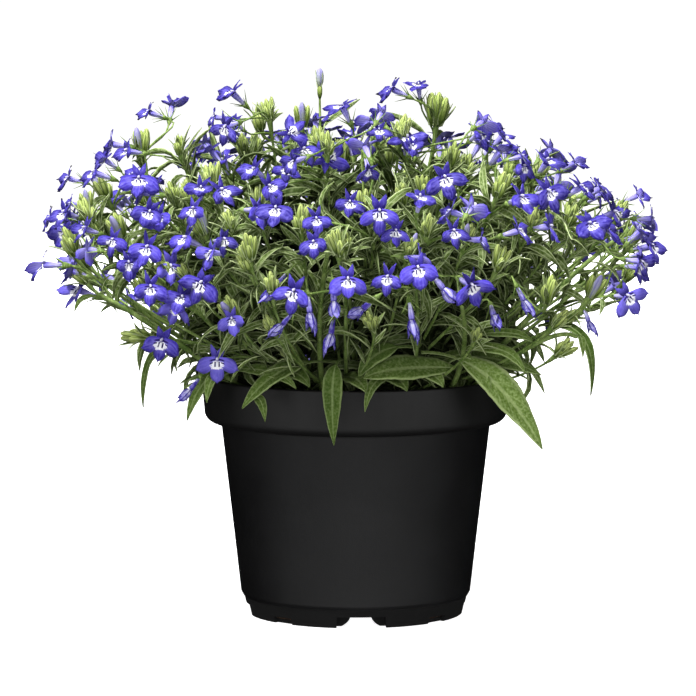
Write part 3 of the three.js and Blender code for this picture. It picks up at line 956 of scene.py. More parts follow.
def buds(across: float, up: float, turn: float, pitch: float, depth: float | None = None) -> Bloom:
    """A tuft of buds whose top is seen at a place, on the dome or at a depth."""
    top = on_dome_front(across, up) if depth is None else sighted(across, up, depth)
    return Bloom(Kind.TUFT, top, facing(turn, pitch))


def outer_buds(azimuth: float, height: float, pitch: float = 60.0) -> Bloom:
    """A tuft of buds that points out of the dome."""
    return Bloom(Kind.TUFT, on_dome_around(azimuth, height), facing(azimuth + 90, pitch))


@dataclass(frozen=True)
class Shoot:
    """A stem that stands on the soil and ends in its first bloom; the others are on side branches."""

    azimuth: float
    radius: float
    bow: float
    blooms: tuple[Bloom, ...]

    def line(self) -> Bend:
        """Its middle line, bowed outwards and down."""
        out = around(math.radians(self.azimuth))
        crown = SOIL_CROWN * (1 - self.radius / (RIM_RADIUS - RIM_WALL - GAP))
        start = out * self.radius + UP * (SOIL_TOP + crown + GAP)
        end = self.blooms[0].heel(GAP)
        middle = start.lerp(end, 0.5) + out * self.bow - UP * self.bow / 2
        slant = (middle - start).normalized()
        start += UP * SHOOT_RADIUS * math.hypot(slant.x, slant.y)
        return Bend((start, middle, self.blooms[0].heel(GAP + TIP_LEAD), end))


def branch(shoot: Bend, bloom: Bloom) -> Bend:
    """The middle line of a side branch that leaves a shoot below its bloom and bends over to it.

    Args:
        shoot: The line that it leaves.
        bloom: The bloom at its end.

    Returns:
        The branch's line.
    """
    end = bloom.heel(GAP)
    steps = 50
    shares = [step / steps for step in range(steps + 1)]
    nearest = min(shares, key=lambda share: (shoot.point(share) - end).length)
    distance = (shoot.point(nearest) - end).length
    share = kept(nearest - BRANCH_SLANT * distance / shoot.length(), *BRANCH_ZONE)
    start = shoot.point(share)
    reach = (end - start).length
    middle = start + shoot.tangent(share) * BRANCH_RISE * reach
    return Bend((start, middle, bloom.heel(GAP + BRANCH_LEAD * reach), end))


@dataclass(frozen=True)
class Gauge:
    """How thick a stem is at its start and its end, and the steps of its tube."""

    thick: float
    thin: float
    steps: int = 14


SHOOT_GAUGE = Gauge(SHOOT_RADIUS, 0.5, 18)
LONE_BUD_GAUGE = Gauge(SHOOT_RADIUS, 0.42, 18)
BRANCH_GAUGE = Gauge(0.56, 0.36, 10)
OPEN_GAUGE = Gauge(1.3, 0.8)
TUFT_GAUGE = Gauge(0.8, 0.42)
SPARE_GAUGE = Gauge(0.7, 0.42)
FLOWER_GAUGE = Gauge(0.46, 0.34, 7)
BASE_GAUGE = Gauge(0.8, 0.45, 8)

# The shoots of the frame, with their blooms in the order of the frame's names.
SHOOTS = (
    Shoot(-97, 27, 9, (flower(-3, 130, 2, 6), flower(-24, 125.4, -22, roll=12))),
    Shoot(-50, 28, 12, (flower(24.2, 134.4, 6, 8, -6), flower(45, 127.8, 32, -12, -24))),
    Shoot(-4, 30, 6, (
        flower(114.5, 143, 62, 12, -10, 30, 22),
        flower(105.6, 123.5, 36, 4, -34, depth=-16),
    )),
    Shoot(183, 30, 6, (
        flower(-121.6, 135.8, -86, 2, cup=58, depth=-44),
        flower(-111.9, 148.5, -20, 8, 26, depth=-20),
        flower(-107.6, 126.1, -62, 22, cup=40, depth=-6),
    )),
    Shoot(-140, 29, 9, (
        flower(-60.1, 128.6, -18, 8, 26),
        flower(-75.4, 106, -16, 2, 10, depth=-62),
        flower(-53.8, 98.5, -4, 4, depth=-66),
        buds(-90.5, 109, -75, 10, -38),
    )),
    Shoot(38, 29, 8, (outer_flower(34, 140), outer_buds(50, 158))),
    Shoot(88, 28, 9, (outer_flower(90, 136), outer_flower(73, 148, 20, 10))),
    Shoot(135, 29, 8, (outer_flower(146, 141, 12, 8), outer_buds(128, 156))),
    Shoot(-124, 14, 6, (flower(-84, 169.2, -6, 22), buds(-83, 188, -20, 82, -10))),
    Shoot(-88, 13, 6, (flower(9.2, 156.5, 4, 12), flower(-31, 157.7, -10, 16, 4))),
    Shoot(-32, 15, 5, (
        flower(74.8, 164.2, 34, 10, -20),
        flower(90.8, 151.6, 20, 30, -20),
        flower(34.6, 169.6, 10, 14, -14),
        buds(76, 131, 30, 72),
    )),
    Shoot(48, 14, 5, (outer_flower(42, 176, 30),)),
    Shoot(132, 14, 5, (outer_flower(126, 178, 30),)),
    Shoot(18, 6, 2, (buds(32, 200, 60, 84, -6), flower(20, 185, 10, 58, depth=-42))),
    Shoot(-168, 7, 2, (
        buds(-13.9, 211, 0, 88, 4),
        flower(-11, 177, 8, 26, -135, depth=-62),
        buds(-38, 198, -60, 80, -6),
    )),
)

# More flowers on the front: seen across and up, turn, pitch, roll, cup, millimetres behind the dome.
FRONT_FLOWERS = (
    (12.5, 130.9, -5, 6, 0, 12, 4), (-48.1, 114.6, 15, 4, -4, 20, 2),
    (-79.7, 127, -10, 6, 15, 12, 2), (-94.2, 145.4, -12, 10, 15, 12, 0),
    (-80.8, 142.5, -30, 8, 12, 14, 6), (-80, 156.2, -20, 14, 30, 14, 4),
    (-76, 154.5, 5, 10, -10, 16, 12), (-56, 140.6, -50, 10, -5, 18, 2),
    (-15.3, 153.6, -15, 10, 0, 14, 6), (-16.2, 144.5, -4, 8, -10, 12, 2),
    (15.5, 148.8, 4, 12, 0, 14, 6), (24.9, 162.2, 5, 50, 0, 10, 0), (38, 148.8, 0, 4, 0, 18, 0),
    (-25.3, 187, -15, 20, -120, 12, 0), (-24.1, 175.9, -35, -5, 20, 14, 4),
    (-39.5, 172.8, -60, 20, 0, 16, 4), (63.4, 149.1, 50, 8, -30, 14, 0),
    (75.4, 150.8, 45, 8, -30, 14, 6), (110.7, 136.9, 55, 0, -20, 16, -4),
    (-2.3, 160, 0, 30, 0, 20, 14), (-71.8, 135.2, 0, 6, 0, 30, 14),
    (-69.5, 119.2, -40, -20, 30, 20, 10), (-105.2, 149.9, -50, 20, 10, 25, 10),
    (-103.8, 141.8, -120, 10, 0, 14, 14), (-66, 146, -70, 15, 10, 20, 10),
    (-60, 165.5, -20, 30, 20, 16, 8), (-51.8, 164.7, 40, 25, -20, 20, 12),
    (-82.3, 163.9, -100, 10, 0, 16, 14), (-33.2, 166.2, 20, 10, -20, 18, 10),
    (24.8, 138.3, 90, -10, 0, 50, 10), (36.7, 156.5, -70, 10, 10, 20, 8),
    (44.6, 157.3, 150, 20, 0, 12, 4), (48.6, 145.4, 100, 5, 0, 30, 6),
    (64.4, 162, 30, 20, -10, 18, 6), (97.2, 149.6, 75, 10, -20, 24, 4),
    (-51.2, 145.6, 20, 14, 10, 16, 6), (-113, 156, -70, 14, 0, 20, 4),
    (-38, 157, 30, 8, -10, 20, 8), (-67.5, 123, -10, 10, 10, 16, 10),
    (-27, 173, 10, 30, 0, 16, 14), (100.3, 156, 40, 20, -20, 16, 14),
    (-63, 157.5, -20, 10, 0, 16, 4), (-88, 136.5, -10, 10, 10, 16, 4),
)

# Flowers along the top, seen from the side or from behind: across, up, turn, pitch, behind the dome.
CROWN_FLOWERS = (
    (-80, 195, -75, 20, 0), (-71, 197.6, 170, 50, 14), (-94.3, 182.6, -80, 10, 4),
    (-97, 176.5, -70, 35, 10), (-111.4, 169.4, -80, 15, 0), (-47.7, 202.4, -60, 40, 6),
    (-54.7, 193, -85, 5, 14), (-50.4, 189.2, -40, -10, 2), (-5.4, 197.3, -60, 60, 4),
    (14.1, 203.9, -75, 25, 8), (24.2, 205.5, -20, 70, 16), (9.8, 194.6, 160, 30, 10),
    (5.7, 191.5, -120, 20, 20), (49, 191.1, 150, 15, 0), (3.6, 181.8, -160, 40, 14),
    (5, 172.5, 20, -50, 4), (56.6, 185.9, 80, 50, 10), (64.4, 178, 85, 15, 2),
    (65.2, 174, 40, 20, 8), (74.3, 176.3, 40, 45, 4), (84.8, 175.6, 80, 30, 8),
    (87.4, 166, 60, 30, 2), (94.9, 165.8, 70, 35, 8), (109.2, 162.7, 75, 25, 0),
    (114.7, 153.8, 95, 0, 4), (-88.5, 180, -60, 10, 6), (-47, 191, -40, 30, 12),
    (-20, 180.5, 30, 30, 18), (9, 188, 10, 40, 16), (22, 182, 20, 40, 14),
    (48, 187, 40, 30, 14), (54, 189, 80, 20, 12), (56, 180, 60, 50, 18),
    (-101.3, 171.7, -75, 20, 4), (-110.3, 159.5, -85, 10, 2), (-118.5, 154, -80, 5, 0),
)

# Faded flowers that have closed: seen across and up, turn, pitch, millimetres behind the dome.
FADED_FLOWERS = (
    (53.7, 115.7, 10, -30, 4), (90.6, 113.4, 40, -60, 2), (21.8, 114.2, 30, -75, 4),
    (-64.4, 87, -70, -50, 0), (-28.5, 112.4, -75, -48, 6), (-17.8, 116.9, 20, -70, 8),
    (-8.5, 121.4, 10, -68, 6), (2.5, 118.5, -80, -38, 10), (-9.6, 108.7, -40, -75, 12),
    (-22.5, 99.8, 80, -30, 10), (6, 99.8, 70, -45, 12), (34.2, 126.4, 80, -50, 10),
    (-31.1, 127.2, -60, -45, 12), (65.3, 121.7, 60, -60, 10),
)

# More tufts of buds on the front: seen across and up, and millimetres behind the dome.
FRONT_TUFTS = (
    (-69.1, 187.2, 14), (-105.6, 162.7, 4), (-34.9, 200.8, 10), (-21.3, 199.3, 18),
    (38.5, 183.3, 6), (61.8, 180.2, 12), (58, 172.8, 6), (25.7, 171.3, 8), (-62.9, 157.7, 6),
    (-42.7, 147.6, 4), (-45.8, 142.5, 6), (-21.3, 160, 6), (5.1, 116.9, 8), (22.2, 147.6, 10),
    (-72.2, 167.8, 12), (-3.8, 149.9, 10), (-49.7, 158.1, 8), (-56.3, 176.3, 10),
    (-95.1, 155.8, 8), (-66, 167.8, 10), (-38.4, 167.8, 6), (-10.8, 188.4, 10),
    (-9.2, 149.9, 0), (-100.2, 171.3, 14), (105, 160.4, 6), (18.3, 168.6, 12),
    (28.8, 156.5, 10), (58.4, 143.7, 8), (44, 152.6, 6), (19.1, 193.8, 22), (-77.6, 139, 8),
    (-67.9, 137.1, 14), (-33.3, 133.6, 6), (-52, 123.1, 16), (-34.5, 115, 8),
    (-29.4, 105.6, 10), (47.9, 111.8, 6), (85.2, 106.4, 6), (95, 133, 10), (82, 118, 8),
    (-86, 131, 12), (4, 166, 16), (70, 158, 12), (-105.6, 165.5, 2), (-113, 150, 4),
    (86, 160.5, 8), (93, 155, 6),
)

# Rings of further tufts at the sides and the back: height, number, share of the dome's spread.
TUFT_RINGS = (
    (118, 7, 0.9), (136, 9, 0.97), (152, 8, 0.96), (166, 8, 0.9), (178, 7, 0.7), (188, 7, 0.5),
    (192, 4, 0.2),
)

# Rings of further flowers there: height, number, share of the dome's spread.
FLOWER_RINGS = (
    (112, 10, 0.88), (124, 13, 0.98), (137, 14, 1), (150, 15, 1), (163, 14, 0.98),
    (172, 12, 0.88), (178, 8, 0.55), (182, 7, 0.85), (186, 7, 0.36), (188, 6, 0.6),
    (191, 5, 0.2),
)


# ---------------- shapes that are copied


PETALS = (Finish.PETAL, Finish.PETAL_BACK, Finish.TUBE, Finish.ANTHER, Finish.FADED)
BUDS = (Finish.BUD, Finish.PALE_BUD, Finish.LEAF)
LEAVES = (Finish.LEAF, Finish.RIM_LEAF)


@dataclass(frozen=True)
class FlowerShape:
    """A flower with its mouth at the origin, facing +Z, and its two narrow lobes towards +Y."""

    cup: float
    lobe_length: float
    lobe_width: float
    side_angle: float
    upper_length: float
    upper_width: float
    upper_angle: float
    upper_tilt: float
    curl: float
    arch: float
    sag: float
    twist: float
    ripple: float
    uneven: tuple[float, ...]
    faded: bool
    columns: int
    rows: int
    lobe_root: float = 0.6
    widest: float = 0.6
    root: float = 0.35
    thickness: float = 0.24

    def faces(self) -> tuple[int, int]:
        """Material numbers of the front and the back of its lobes."""
        return (4, 4) if self.faded else (0, 1)

    def outline(self, side: float, along: float, width: float, sag: float) -> Vector:
        """Where a point of a broad lobe lies on the flat lip before the lobe is turned.

        Args:
            side: -1 on its left edge to 1 on its right edge.
            along: 0 at the mouth to 1 at its tip.
            width: Its greatest width.
            sag: How far its tip bends to the right.

        Returns:
            The place, with the mouth's middle at the origin.
        """
        if along < self.widest:
            opened = math.sin(math.pi / 2 * along / self.widest) ** 1.3
            swell = self.lobe_root + (1 - self.lobe_root) * opened
        else:
            swell = max(1 - ((along - self.widest) / (1 - self.widest)) ** 2.2, 0) ** 0.78
        past = along * self.lobe_length * (1 - 0.06 * abs(side))
        return Vector((side * width / 2 * swell + sag * along**2, self.root + past))

    def lobe(self, number: int, turn: float, share: float, sag: float, shift: float) -> Shape:
        """One broad lobe of the lip.

        Args:
            number: Which one: the middle, left or right one.
            turn: Degrees that it is turned from +Y.
            share: Its width, as a share of the usual one.
            sag: How far its tip bends to the right; its map then runs the other way across.
            shift: First coordinate of its map.

        Returns:
            The lobe.
        """
        rise = math.radians(self.cup + self.uneven[number])
        tip = self.curl * (0.5 if number else 1)
        width = self.lobe_width * share * (1 + 0.006 * self.uneven[number - 1])
        flip = sag > 0

        def surface(across: float, along: float) -> Vector:
            """A point of the lobe."""
            side = 2 * across - 1
            flat = self.outline(side, along, width, sag)
            past = flat.y - self.root
            lift = past * math.sin(rise) - self.arch * side**2 * along
            lift += 0.25 * (1 - abs(side)) * math.sin(math.pi * along) + self.twist * side * along
            lift += self.ripple * math.sin(side * 3 + along * 8 + turn) * along
            return Vector((flat.x, self.root + past * math.cos(rise), lift - tip * along**3))

        made = sheet(self.columns, self.rows, self.thickness, surface, self.faces(), shift, flip)
        spin = Matrix.Rotation(math.radians(turn), 2)
        plan = made.loops.layers.uv.new(LIP_MAP)
        grid = made.loops.layers.uv[BLADE_MAP]
        for face in made.faces:
            for loop in face.loops:
                across, along = loop[grid].uv
                side = 2 * (across - shift) - 1
                loop[plan].uv = spin @ self.outline(-side if flip else side, along, width, sag)
        return moved(made, turned(turn))

    def narrow_lobe(self, turn: float) -> Shape:
        """One of the two narrow upper lobes, turned from +Y."""
        tilt = math.radians(self.upper_tilt)

        def surface(across: float, along: float) -> Vector:
            """A point of the lobe."""
            side = 2 * across - 1
            swell = max(math.sin(math.pi * min(0.25 + 0.75 * along, 1)), 0) ** 1.1
            past = along * self.upper_length
            lift = past * math.sin(tilt) - self.curl * 0.9 * along**2 + 0.35 * side**2 * swell
            lift += 1.4 * self.ripple * math.sin(side * 2 + along * 6 + turn) * along
            x = side * self.upper_width / 2 * swell + self.twist * along**2
            return Vector((x, 0.5 + past * math.cos(tilt), lift - 0.5))

        made = sheet(1, 4, self.thickness, surface, self.faces(), 4)
        return moved(made, turned(turn))

    def stamp(self) -> Mesh:
        """The whole flower without its calyx."""
        side = 180 - self.side_angle
        tube = [(0, -7.3), (0.85, -7.2), (0.95, -5.2), (1.3, -2.4), (1.3, -0.7), (0.9, -0.25), (0, -1.4)]
        anther = [(0, -1.6), (0.42, -1.2), (0.55, 0.3), (0.4, 1.1), (0, 1.4)]
        nod = Matrix.Translation((0, 0.7, 0.2)) @ turned(20, "X")
        parts = [
            self.lobe(0, 180, 0.94, 0, 0),
            self.lobe(1, side, 1.04, -self.sag, 2),
            self.lobe(2, -side, 1.04, self.sag, 2),
            self.narrow_lobe(self.upper_angle),
            self.narrow_lobe(-self.upper_angle),
            rounded(7, tube, 4 if self.faded else 2),
            moved(rounded(5, anther, 3), nod),
        ]
        return stamp("flower", parts)


@dataclass(frozen=True)
class CalyxShape:
    """The green cup behind a flower, with five thin sepals; its mouth is the flower's mouth."""

    radius: float = 1.35
    sepals: int = 5
    sepal_length: float = 5.4
    sepal_radius: float = 0.34
    spread: float = 38.0

    def stamp(self) -> Mesh:
        """The calyx."""
        foot = -FLOWER_LENGTH
        rim = -TUBE_LENGTH
        side = [(0.45, foot), (self.radius, rim - 0.9), (self.radius * 0.92, rim)]
        parts = [rounded(6, [(0, foot - 0.2), *side, (0, rim + 0.2)])]
        for number in range(self.sepals):
            sepal = cone(self.sepal_length, self.sepal_radius, self.sepal_radius * 0.2)
            moved(sepal, Matrix.Translation((0, 0, self.sepal_length / 2)))
            moved(sepal, turned(-self.spread, "X"))
            moved(sepal, Matrix.Translation((0, self.radius * 0.8, rim - 0.3)))
            parts.append(moved(sepal, Matrix.Rotation(2 * math.pi * (number + 0.5) / self.sepals, 4, "Z")))
        return stamp("calyx", parts)


@dataclass(frozen=True)
class LeafShape:
    """A leaf that grows along +Y from the origin, with its upper face towards +Z."""

    length: float
    width: float
    droop: float
    twist: float = 0.0
    fold: float = 0.35
    teeth: float = 0.0
    thickness: float = 0.3
    columns: int = 2
    rows: int = 6
    material: int = 0

    def surface(self, across: float, along: float) -> Vector:
        """A point of the blade."""
        side = 2 * across - 1
        swell = max(math.sin(math.pi * min(0.09 + 0.91 * along**0.86, 1)), 0) ** 0.85
        swell *= 1 - self.teeth * abs(math.sin(along * math.pi * 4.5)) * abs(side)
        half = max(self.width / 2 * swell, 0.1)
        bend = math.radians(self.droop) * along
        radius = self.length / math.radians(self.droop if abs(self.droop) > 1 else 1)
        turn = math.radians(self.twist) * along
        rib = abs(side) * half * self.fold
        x = side * half * math.cos(turn) - rib * math.sin(turn)
        lift = side * half * math.sin(turn) + rib * math.cos(turn)
        y = radius * math.sin(bend) + lift * math.sin(bend)
        z = -radius * (1 - math.cos(bend)) + lift * math.cos(bend)
        return Vector((x, y, z))

    def shape(self) -> Shape:
        """The blade as a shape."""
        faces = (self.material, self.material)
        return sheet(self.columns, self.rows, self.thickness, self.surface, faces)

    def stamp(self) -> Mesh:
        """The blade, ready to be copied."""
        return stamp("leaf", [self.shape()])


@dataclass(frozen=True)
class TuftShape:
    """Closed buds with their sepals, and narrow bracts, that rise from the origin along +Z."""

    bud_count: int
    bract_count: int
    spread: float
    bract_spread: float
    pale_bud: bool
    foot: float = 0.0
    seed: int = 0

    def bud(self, length: float, radius: float, material: int) -> Shape:
        """One closed bud, fuller towards its top."""
        rings = ((0, 0), (0.5, 0.05), (0.92, 0.3), (1, 0.6), (0.8, 0.82), (0.4, 0.96), (0, 1))
        return rounded(6, [(radius * wide, high * length) for wide, high in rings], material)

    def sepal(self, length: float, radius: float, turn: float) -> Shape:
        """One thin sepal that lies against a bud."""
        bm = cone(length, 0.42, 0.1)
        for face in bm.faces:
            face.material_index = 2
        lean = Matrix.Translation((0, radius * 0.45, 0.4)) @ turned(-9, "X")
        moved(bm, lean @ Matrix.Translation((0, 0, length / 2)))
        return moved(bm, Matrix.Rotation(turn, 4, "Z"))

    def stamp(self) -> Mesh:
        """The whole tuft."""
        dice = random.Random(self.seed)
        parts = []
        for number in range(self.bud_count + 1):
            length = dice.uniform(9, 10.4) if number == 0 else dice.uniform(5.6, 9.4)
            radius = dice.uniform(1.0, 1.5)
            lean = 0 if number == 0 else math.radians(self.spread * dice.uniform(0.6, 1.6))
            turn = 2 * math.pi * (number + dice.uniform(0.2, 0.7)) / max(self.bud_count, 1)
            shift = Vector((0, 1.0 if number else 0, dice.uniform(0, 2) + self.foot))
            place = Matrix.Rotation(turn, 4, "Z") @ Matrix.Translation(shift)
            place = place @ Matrix.Rotation(-lean, 4, "X")
            material = 1 if self.pale_bud and number == min(self.bud_count, 1) else 0
            longer = 2 * material
            if self.foot:
                length = BUD_LENGTH - self.foot - 1
                longer = 0
                parts.append(self.bud(self.foot + 2, 0.9, 0))
            parts.append(moved(self.bud(length + longer, radius, material), place))
            for sepal in range(3):
                turn = 2 * math.pi / 3 * sepal + number
                parts.append(moved(self.sepal(length * dice.uniform(0.7, 1.0), radius, turn), place))
        for number in range(self.bract_count):
            droop = dice.uniform(-30, 44)
            leaf = LeafShape(dice.uniform(6, 11), dice.uniform(1.1, 2.0), droop, rows=4, material=2)
            lean = math.radians(90 - self.bract_spread * dice.uniform(0.4, 1.8))
            turn = 2 * math.pi * (number + dice.uniform(0, 0.5)) / self.bract_count
            bract = moved(leaf.shape(), Matrix.Translation((0, 0.6, 0.3)) @ Matrix.Rotation(lean, 4, "X"))
            parts.append(moved(bract, Matrix.Rotation(turn, 4, "Z")))
        return stamp("tuft", parts)


# ---------------- pot and soil


def carved(target: Shape, cutters: Sequence[Shape]) -> Mesh:
    """A solid less several others.

    Args:
        target: The solid.
        cutters: What is cut out of it.

    Returns:
        What is left, as a mesh.
    """
    holders = []
    for shape in (target, *cutters):
        mesh = bpy.data.meshes.new("carving")
        shape.to_mesh(mesh)
        shape.free()
        holders.append(placed("carving", mesh))
    for cutter in holders[1:]:
        cut = holders[0].modifiers.new("cut", "BOOLEAN")
        cut.operation = "DIFFERENCE"
        cut.solver = "EXACT"
        cut.object = cutter
    graph = bpy.context.evaluated_depsgraph_get()
    left = bpy.data.meshes.new_from_object(holders[0].evaluated_get(graph))
    for holder in holders:
        mesh = holder.data
        bpy.data.objects.remove(holder)
        bpy.data.meshes.remove(mesh)
    return left


def as_shape(mesh: Mesh) -> Shape:
    """A mesh as a shape; the mesh is used up."""
    bm = bmesh.new()
    bm.from_mesh(mesh)
    bpy.data.meshes.remove(mesh)
    return bm


@dataclass(frozen=True)
class Pot:
    """The moulded pot: a rim band on a tapered body, a foot ring, crossing drain channels and holes."""

    rim_drop: float = 18.0
    rim_taper: float = 1.2
    rim_corner: float = 4.0
    wall: float = 1.2
    body_top: float = 52.3
    body_foot: float = 44.7
    body_foot_z: float = 8.5
    foot_top: float = 43.4
    foot: float = 41.9
    foot_chamfer: float = 1.4
    foot_pad: float = 1.4
    turn: float = 3.0
    channel_top: float = 3.9
    channel_bottom: float = 7.3
    channel_height: float = 4.4
    notch_width: float = 19.0
    notch_depth: float = 6.0
    small_notch: tuple[float, float, float] = (9.0, 2.2, 2.6)
    drain_radius: float = 2.9
    drain_circle: float = 26.0
    lip: float = 0.7
    sides: int = 144
    sharp: float = 28.0

    def shoulder(self) -> float:
        """Height of the rim band's lower edge."""
        return POT_HEIGHT - self.rim_drop

    def arc(self, radius: float, height: float, bend: float, start: float, end: float) -> Outline:
        """Points of a rounded corner about a centre, from one angle to another."""
        steps = 8
        angles = [math.radians(start + (end - start) * step / steps) for step in range(steps + 1)]
        return [(radius + bend * math.cos(angle), height + bend * math.sin(angle)) for angle in angles]

    def outer(self) -> Outline:
        """Outline of the outer surface."""
        shoulder = self.shoulder()
        band = RIM_RADIUS - self.rim_taper - self.rim_corner
        corner = self.arc(band, shoulder + self.rim_corner, self.rim_corner, -90, 0)
        lip = self.arc(RIM_RADIUS - self.lip, POT_HEIGHT - self.lip, self.lip, 0, 90)
        step = 0.35
        return [
            (0, 0),
            (self.foot - step, 0),
            (self.foot, step),
            (self.foot_top, self.body_foot_z - self.foot_chamfer - step),
            (self.foot_top + step, self.body_foot_z - self.foot_chamfer),
            (self.body_foot - step, self.body_foot_z - step),
            (self.body_foot, self.body_foot_z + step),
            (self.body_top, shoulder - 2 * step),
            (self.body_top + step, shoulder - step / 2),
            *corner,
            *lip,
            (0, POT_HEIGHT),
        ]

    def body_radius(self, height: float) -> float:
        """Outer radius of the tapered body."""
        share = (height - self.body_foot_z) / (self.shoulder() - self.body_foot_z)
        return self.body_foot + share * (self.body_top - self.body_foot)

    def band_radius(self, height: float) -> float:
        """Inner radius of the rim band."""
        share = (height - self.shoulder()) / self.rim_drop
        return RIM_RADIUS - RIM_WALL - self.rim_taper * (1 - share)

    def inner(self, clearance: float, top: float) -> Outline:
        """Outline of the space inside the walls, drawn in by a clearance and cut at a top height."""
        shelf = self.shoulder() + self.wall + clearance
        inset = self.wall + clearance
        corner = self.rim_corner / 2
        centre = self.band_radius(shelf) - clearance - corner
        return [
            (0, self.foot_pad + clearance),
            (self.foot - inset, self.foot_pad + clearance),
            (self.body_foot - inset, self.body_foot_z + clearance),
            (self.body_radius(shelf) - inset, shelf),
            *self.arc(centre, shelf + corner, corner, -90, 0),
            (self.band_radius(top) - clearance, top),
        ]

    def channel(self, grown: float, turn: float) -> Shape:
        """One bell-shaped drain channel under the base, grown by a wall thickness."""
        top = self.channel_top + grown
        bottom = self.channel_bottom + grown
        height = self.channel_height + grown
        flank = Bend((Vector((bottom, 0, 0)), Vector((top, 0, 0.4 * height)), Vector((top, 0, height))))
        side = [Vector((bottom, 0, -1)), *(flank.point(step / 8) for step in range(9))]
        mirrored = [Vector((-place.x, 0, place.z)) for place in reversed(side)]
        reach = self.foot + 4
        bm = bmesh.new()
        front = [bm.verts.new(place - Vector((0, reach, 0))) for place in (*side, *mirrored)]
        section = bm.faces.new(front)
        pushed = bmesh.ops.extrude_face_region(bm, geom=[section], use_keep_orig=True)["geom"]
        ends = [part for part in pushed if isinstance(part, bmesh.types.BMVert)]
        bmesh.ops.translate(bm, verts=ends, vec=(0, 2 * reach, 0))
        bmesh.ops.recalc_face_normals(bm, faces=bm.faces[:])
        return moved(bm, turned(turn))

    def block(self, width: float, depth: float, height: float, turn: float) -> Shape:
        """A notch in the foot ring that reaches inwards by a depth and upwards to a height."""
        beyond = 8.0
        bm = bmesh.new()
        middle = Vector((0, -self.foot - beyond + (depth + beyond) / 2, (height - 1) / 2))
        size = Matrix.Diagonal((width, depth + beyond, height + 1, 1))
        bmesh.ops.create_cube(bm, size=1, matrix=Matrix.Translation(middle) @ size)
        return moved(bm, turned(turn))

    def channels(self, grown: float) -> list[Shape]:
        """The crossing channels and the main notches, grown by a wall thickness."""
        height = self.channel_height + grown
        blocks = [
            self.block(self.notch_width + 2 * grown, self.notch_depth + grown, height, turn)
            for turn in (0, 90, 180, 270)
        ]
        return [self.channel(grown, 0), self.channel(grown, 90), *blocks]

    def drains(self) -> list[Shape]:
        """The drain holes through the roof of the channels."""
        made = []
        for number in range(5):
            spread = self.drain_circle if number < 4 else 0
            place = Matrix.Translation(around(math.pi / 2 * number, spread, self.channel_height))
            radius = self.drain_radius
            bm = bmesh.new()
            bmesh.ops.create_cone(
                bm, cap_ends=True, segments=32, radius1=radius, radius2=radius, depth=12, matrix=place
            )
            made.append(bm)
        return made

    def space(self) -> Shape:
        """The room inside, open at the top, less the hump over the channels."""
        top = POT_HEIGHT + 1
        outline = [*self.inner(0, top), (0, top)]
        return as_shape(carved(rounded(self.sides, outline), self.channels(self.wall)))

    def build(self, materials: Materials) -> bpy.types.Object:
        """Makes the pot.

        Args:
            materials: The object's materials.

        Returns:
            The piece.
        """
        small = [self.block(*self.small_notch, turn) for turn in (45, 135, 225, 315)]
        cutters = [self.space(), *self.channels(0), *small, *self.drains()]
        mesh = carved(rounded(self.sides, self.outer()), cutters)
        mesh.transform(turned(self.turn) @ Matrix.Scale(MM, 4))
        mesh.polygons.foreach_set("use_smooth", [True] * len(mesh.polygons))
        mesh.set_sharp_from_angle(angle=math.radians(self.sharp))
        return dressed("nursery_pot", mesh, [materials[Finish.POT]], Finish.POT, ("pot",))


@dataclass(frozen=True)
class Soil:
    """The peat mix: a body that fills the pot, an uneven top and bark crumbs on it."""

    pot: Pot
    ring_step: float = 2.4
    bump: float = 1.3
    bump_size: float = 5.0
    crumbs: int = 260
    crumb_size: Range = (0.7, 2.0)
    crumb_edge: float = 5.0

    def body(self) -> Shape:
        """The body, with rings on its top that noise lifts."""
        edge = self.pot.band_radius(SOIL_TOP) - GAP
        rings = int(edge / self.ring_step)
        outline = self.pot.inner(GAP, SOIL_TOP)
        for ring in range(1, rings):
            share = 1 - ring / rings
            outline.append((edge * share, SOIL_TOP + SOIL_CROWN * (1 - share)))
        outline.append((0, SOIL_TOP + SOIL_CROWN))
        bm = as_shape(carved(rounded(96, outline), self.pot.channels(self.pot.wall + GAP)))
        for vertex in bm.verts:
            place = vertex.co
            if place.z > SOIL_TOP - 0.1 and math.hypot(place.x, place.y) < edge - 1:
                broad = noise.noise(place / self.bump_size)
                fine = noise.noise(place * 2.3 / self.bump_size)
                vertex.co.z += self.bump * (broad + 0.5 * fine)
        for face in bm.faces:
            face.smooth = True
        return bm

    def build(self, materials: Materials) -> bpy.types.Object:
        """Makes the soil.

        Args:
            materials: The object's materials.

        Returns:
            The piece.
        """
        dice = random.Random(SEED)
        piece = Piece("soil_fill", Finish.SOIL, (Finish.SOIL,), "potting_soil")
        piece.add(stamp("soil", [self.body()]), turned(self.pot.turn))
        chip = bmesh.new()
        bmesh.ops.create_icosphere(chip, subdivisions=1, radius=1)
        chip.loops.layers.uv.new(BLADE_MAP)
        crumb = stamp("crumb", [chip])
        for _ in range(self.crumbs):
            angle = dice.uniform(0, 2 * math.pi)
            radius = (RIM_RADIUS - self.crumb_edge) * math.sqrt(dice.random())
            height = SOIL_TOP + SOIL_CROWN * (1 - radius / RIM_RADIUS) + dice.uniform(-0.3, 0.5)
            size = dice.uniform(*self.crumb_size)
            place = Matrix.Translation(around(angle, radius, height))
            turn = Matrix.Rotation(dice.uniform(0, 6), 4, (dice.random(), dice.random(), dice.random()))
            flat = Matrix.Diagonal((size, size * dice.uniform(0.4, 1), size * dice.uniform(0.3, 0.7), 1))
            piece.add(crumb, place @ turn @ flat, dice.random())
        return piece.finish(materials)


# ---------------- the plant


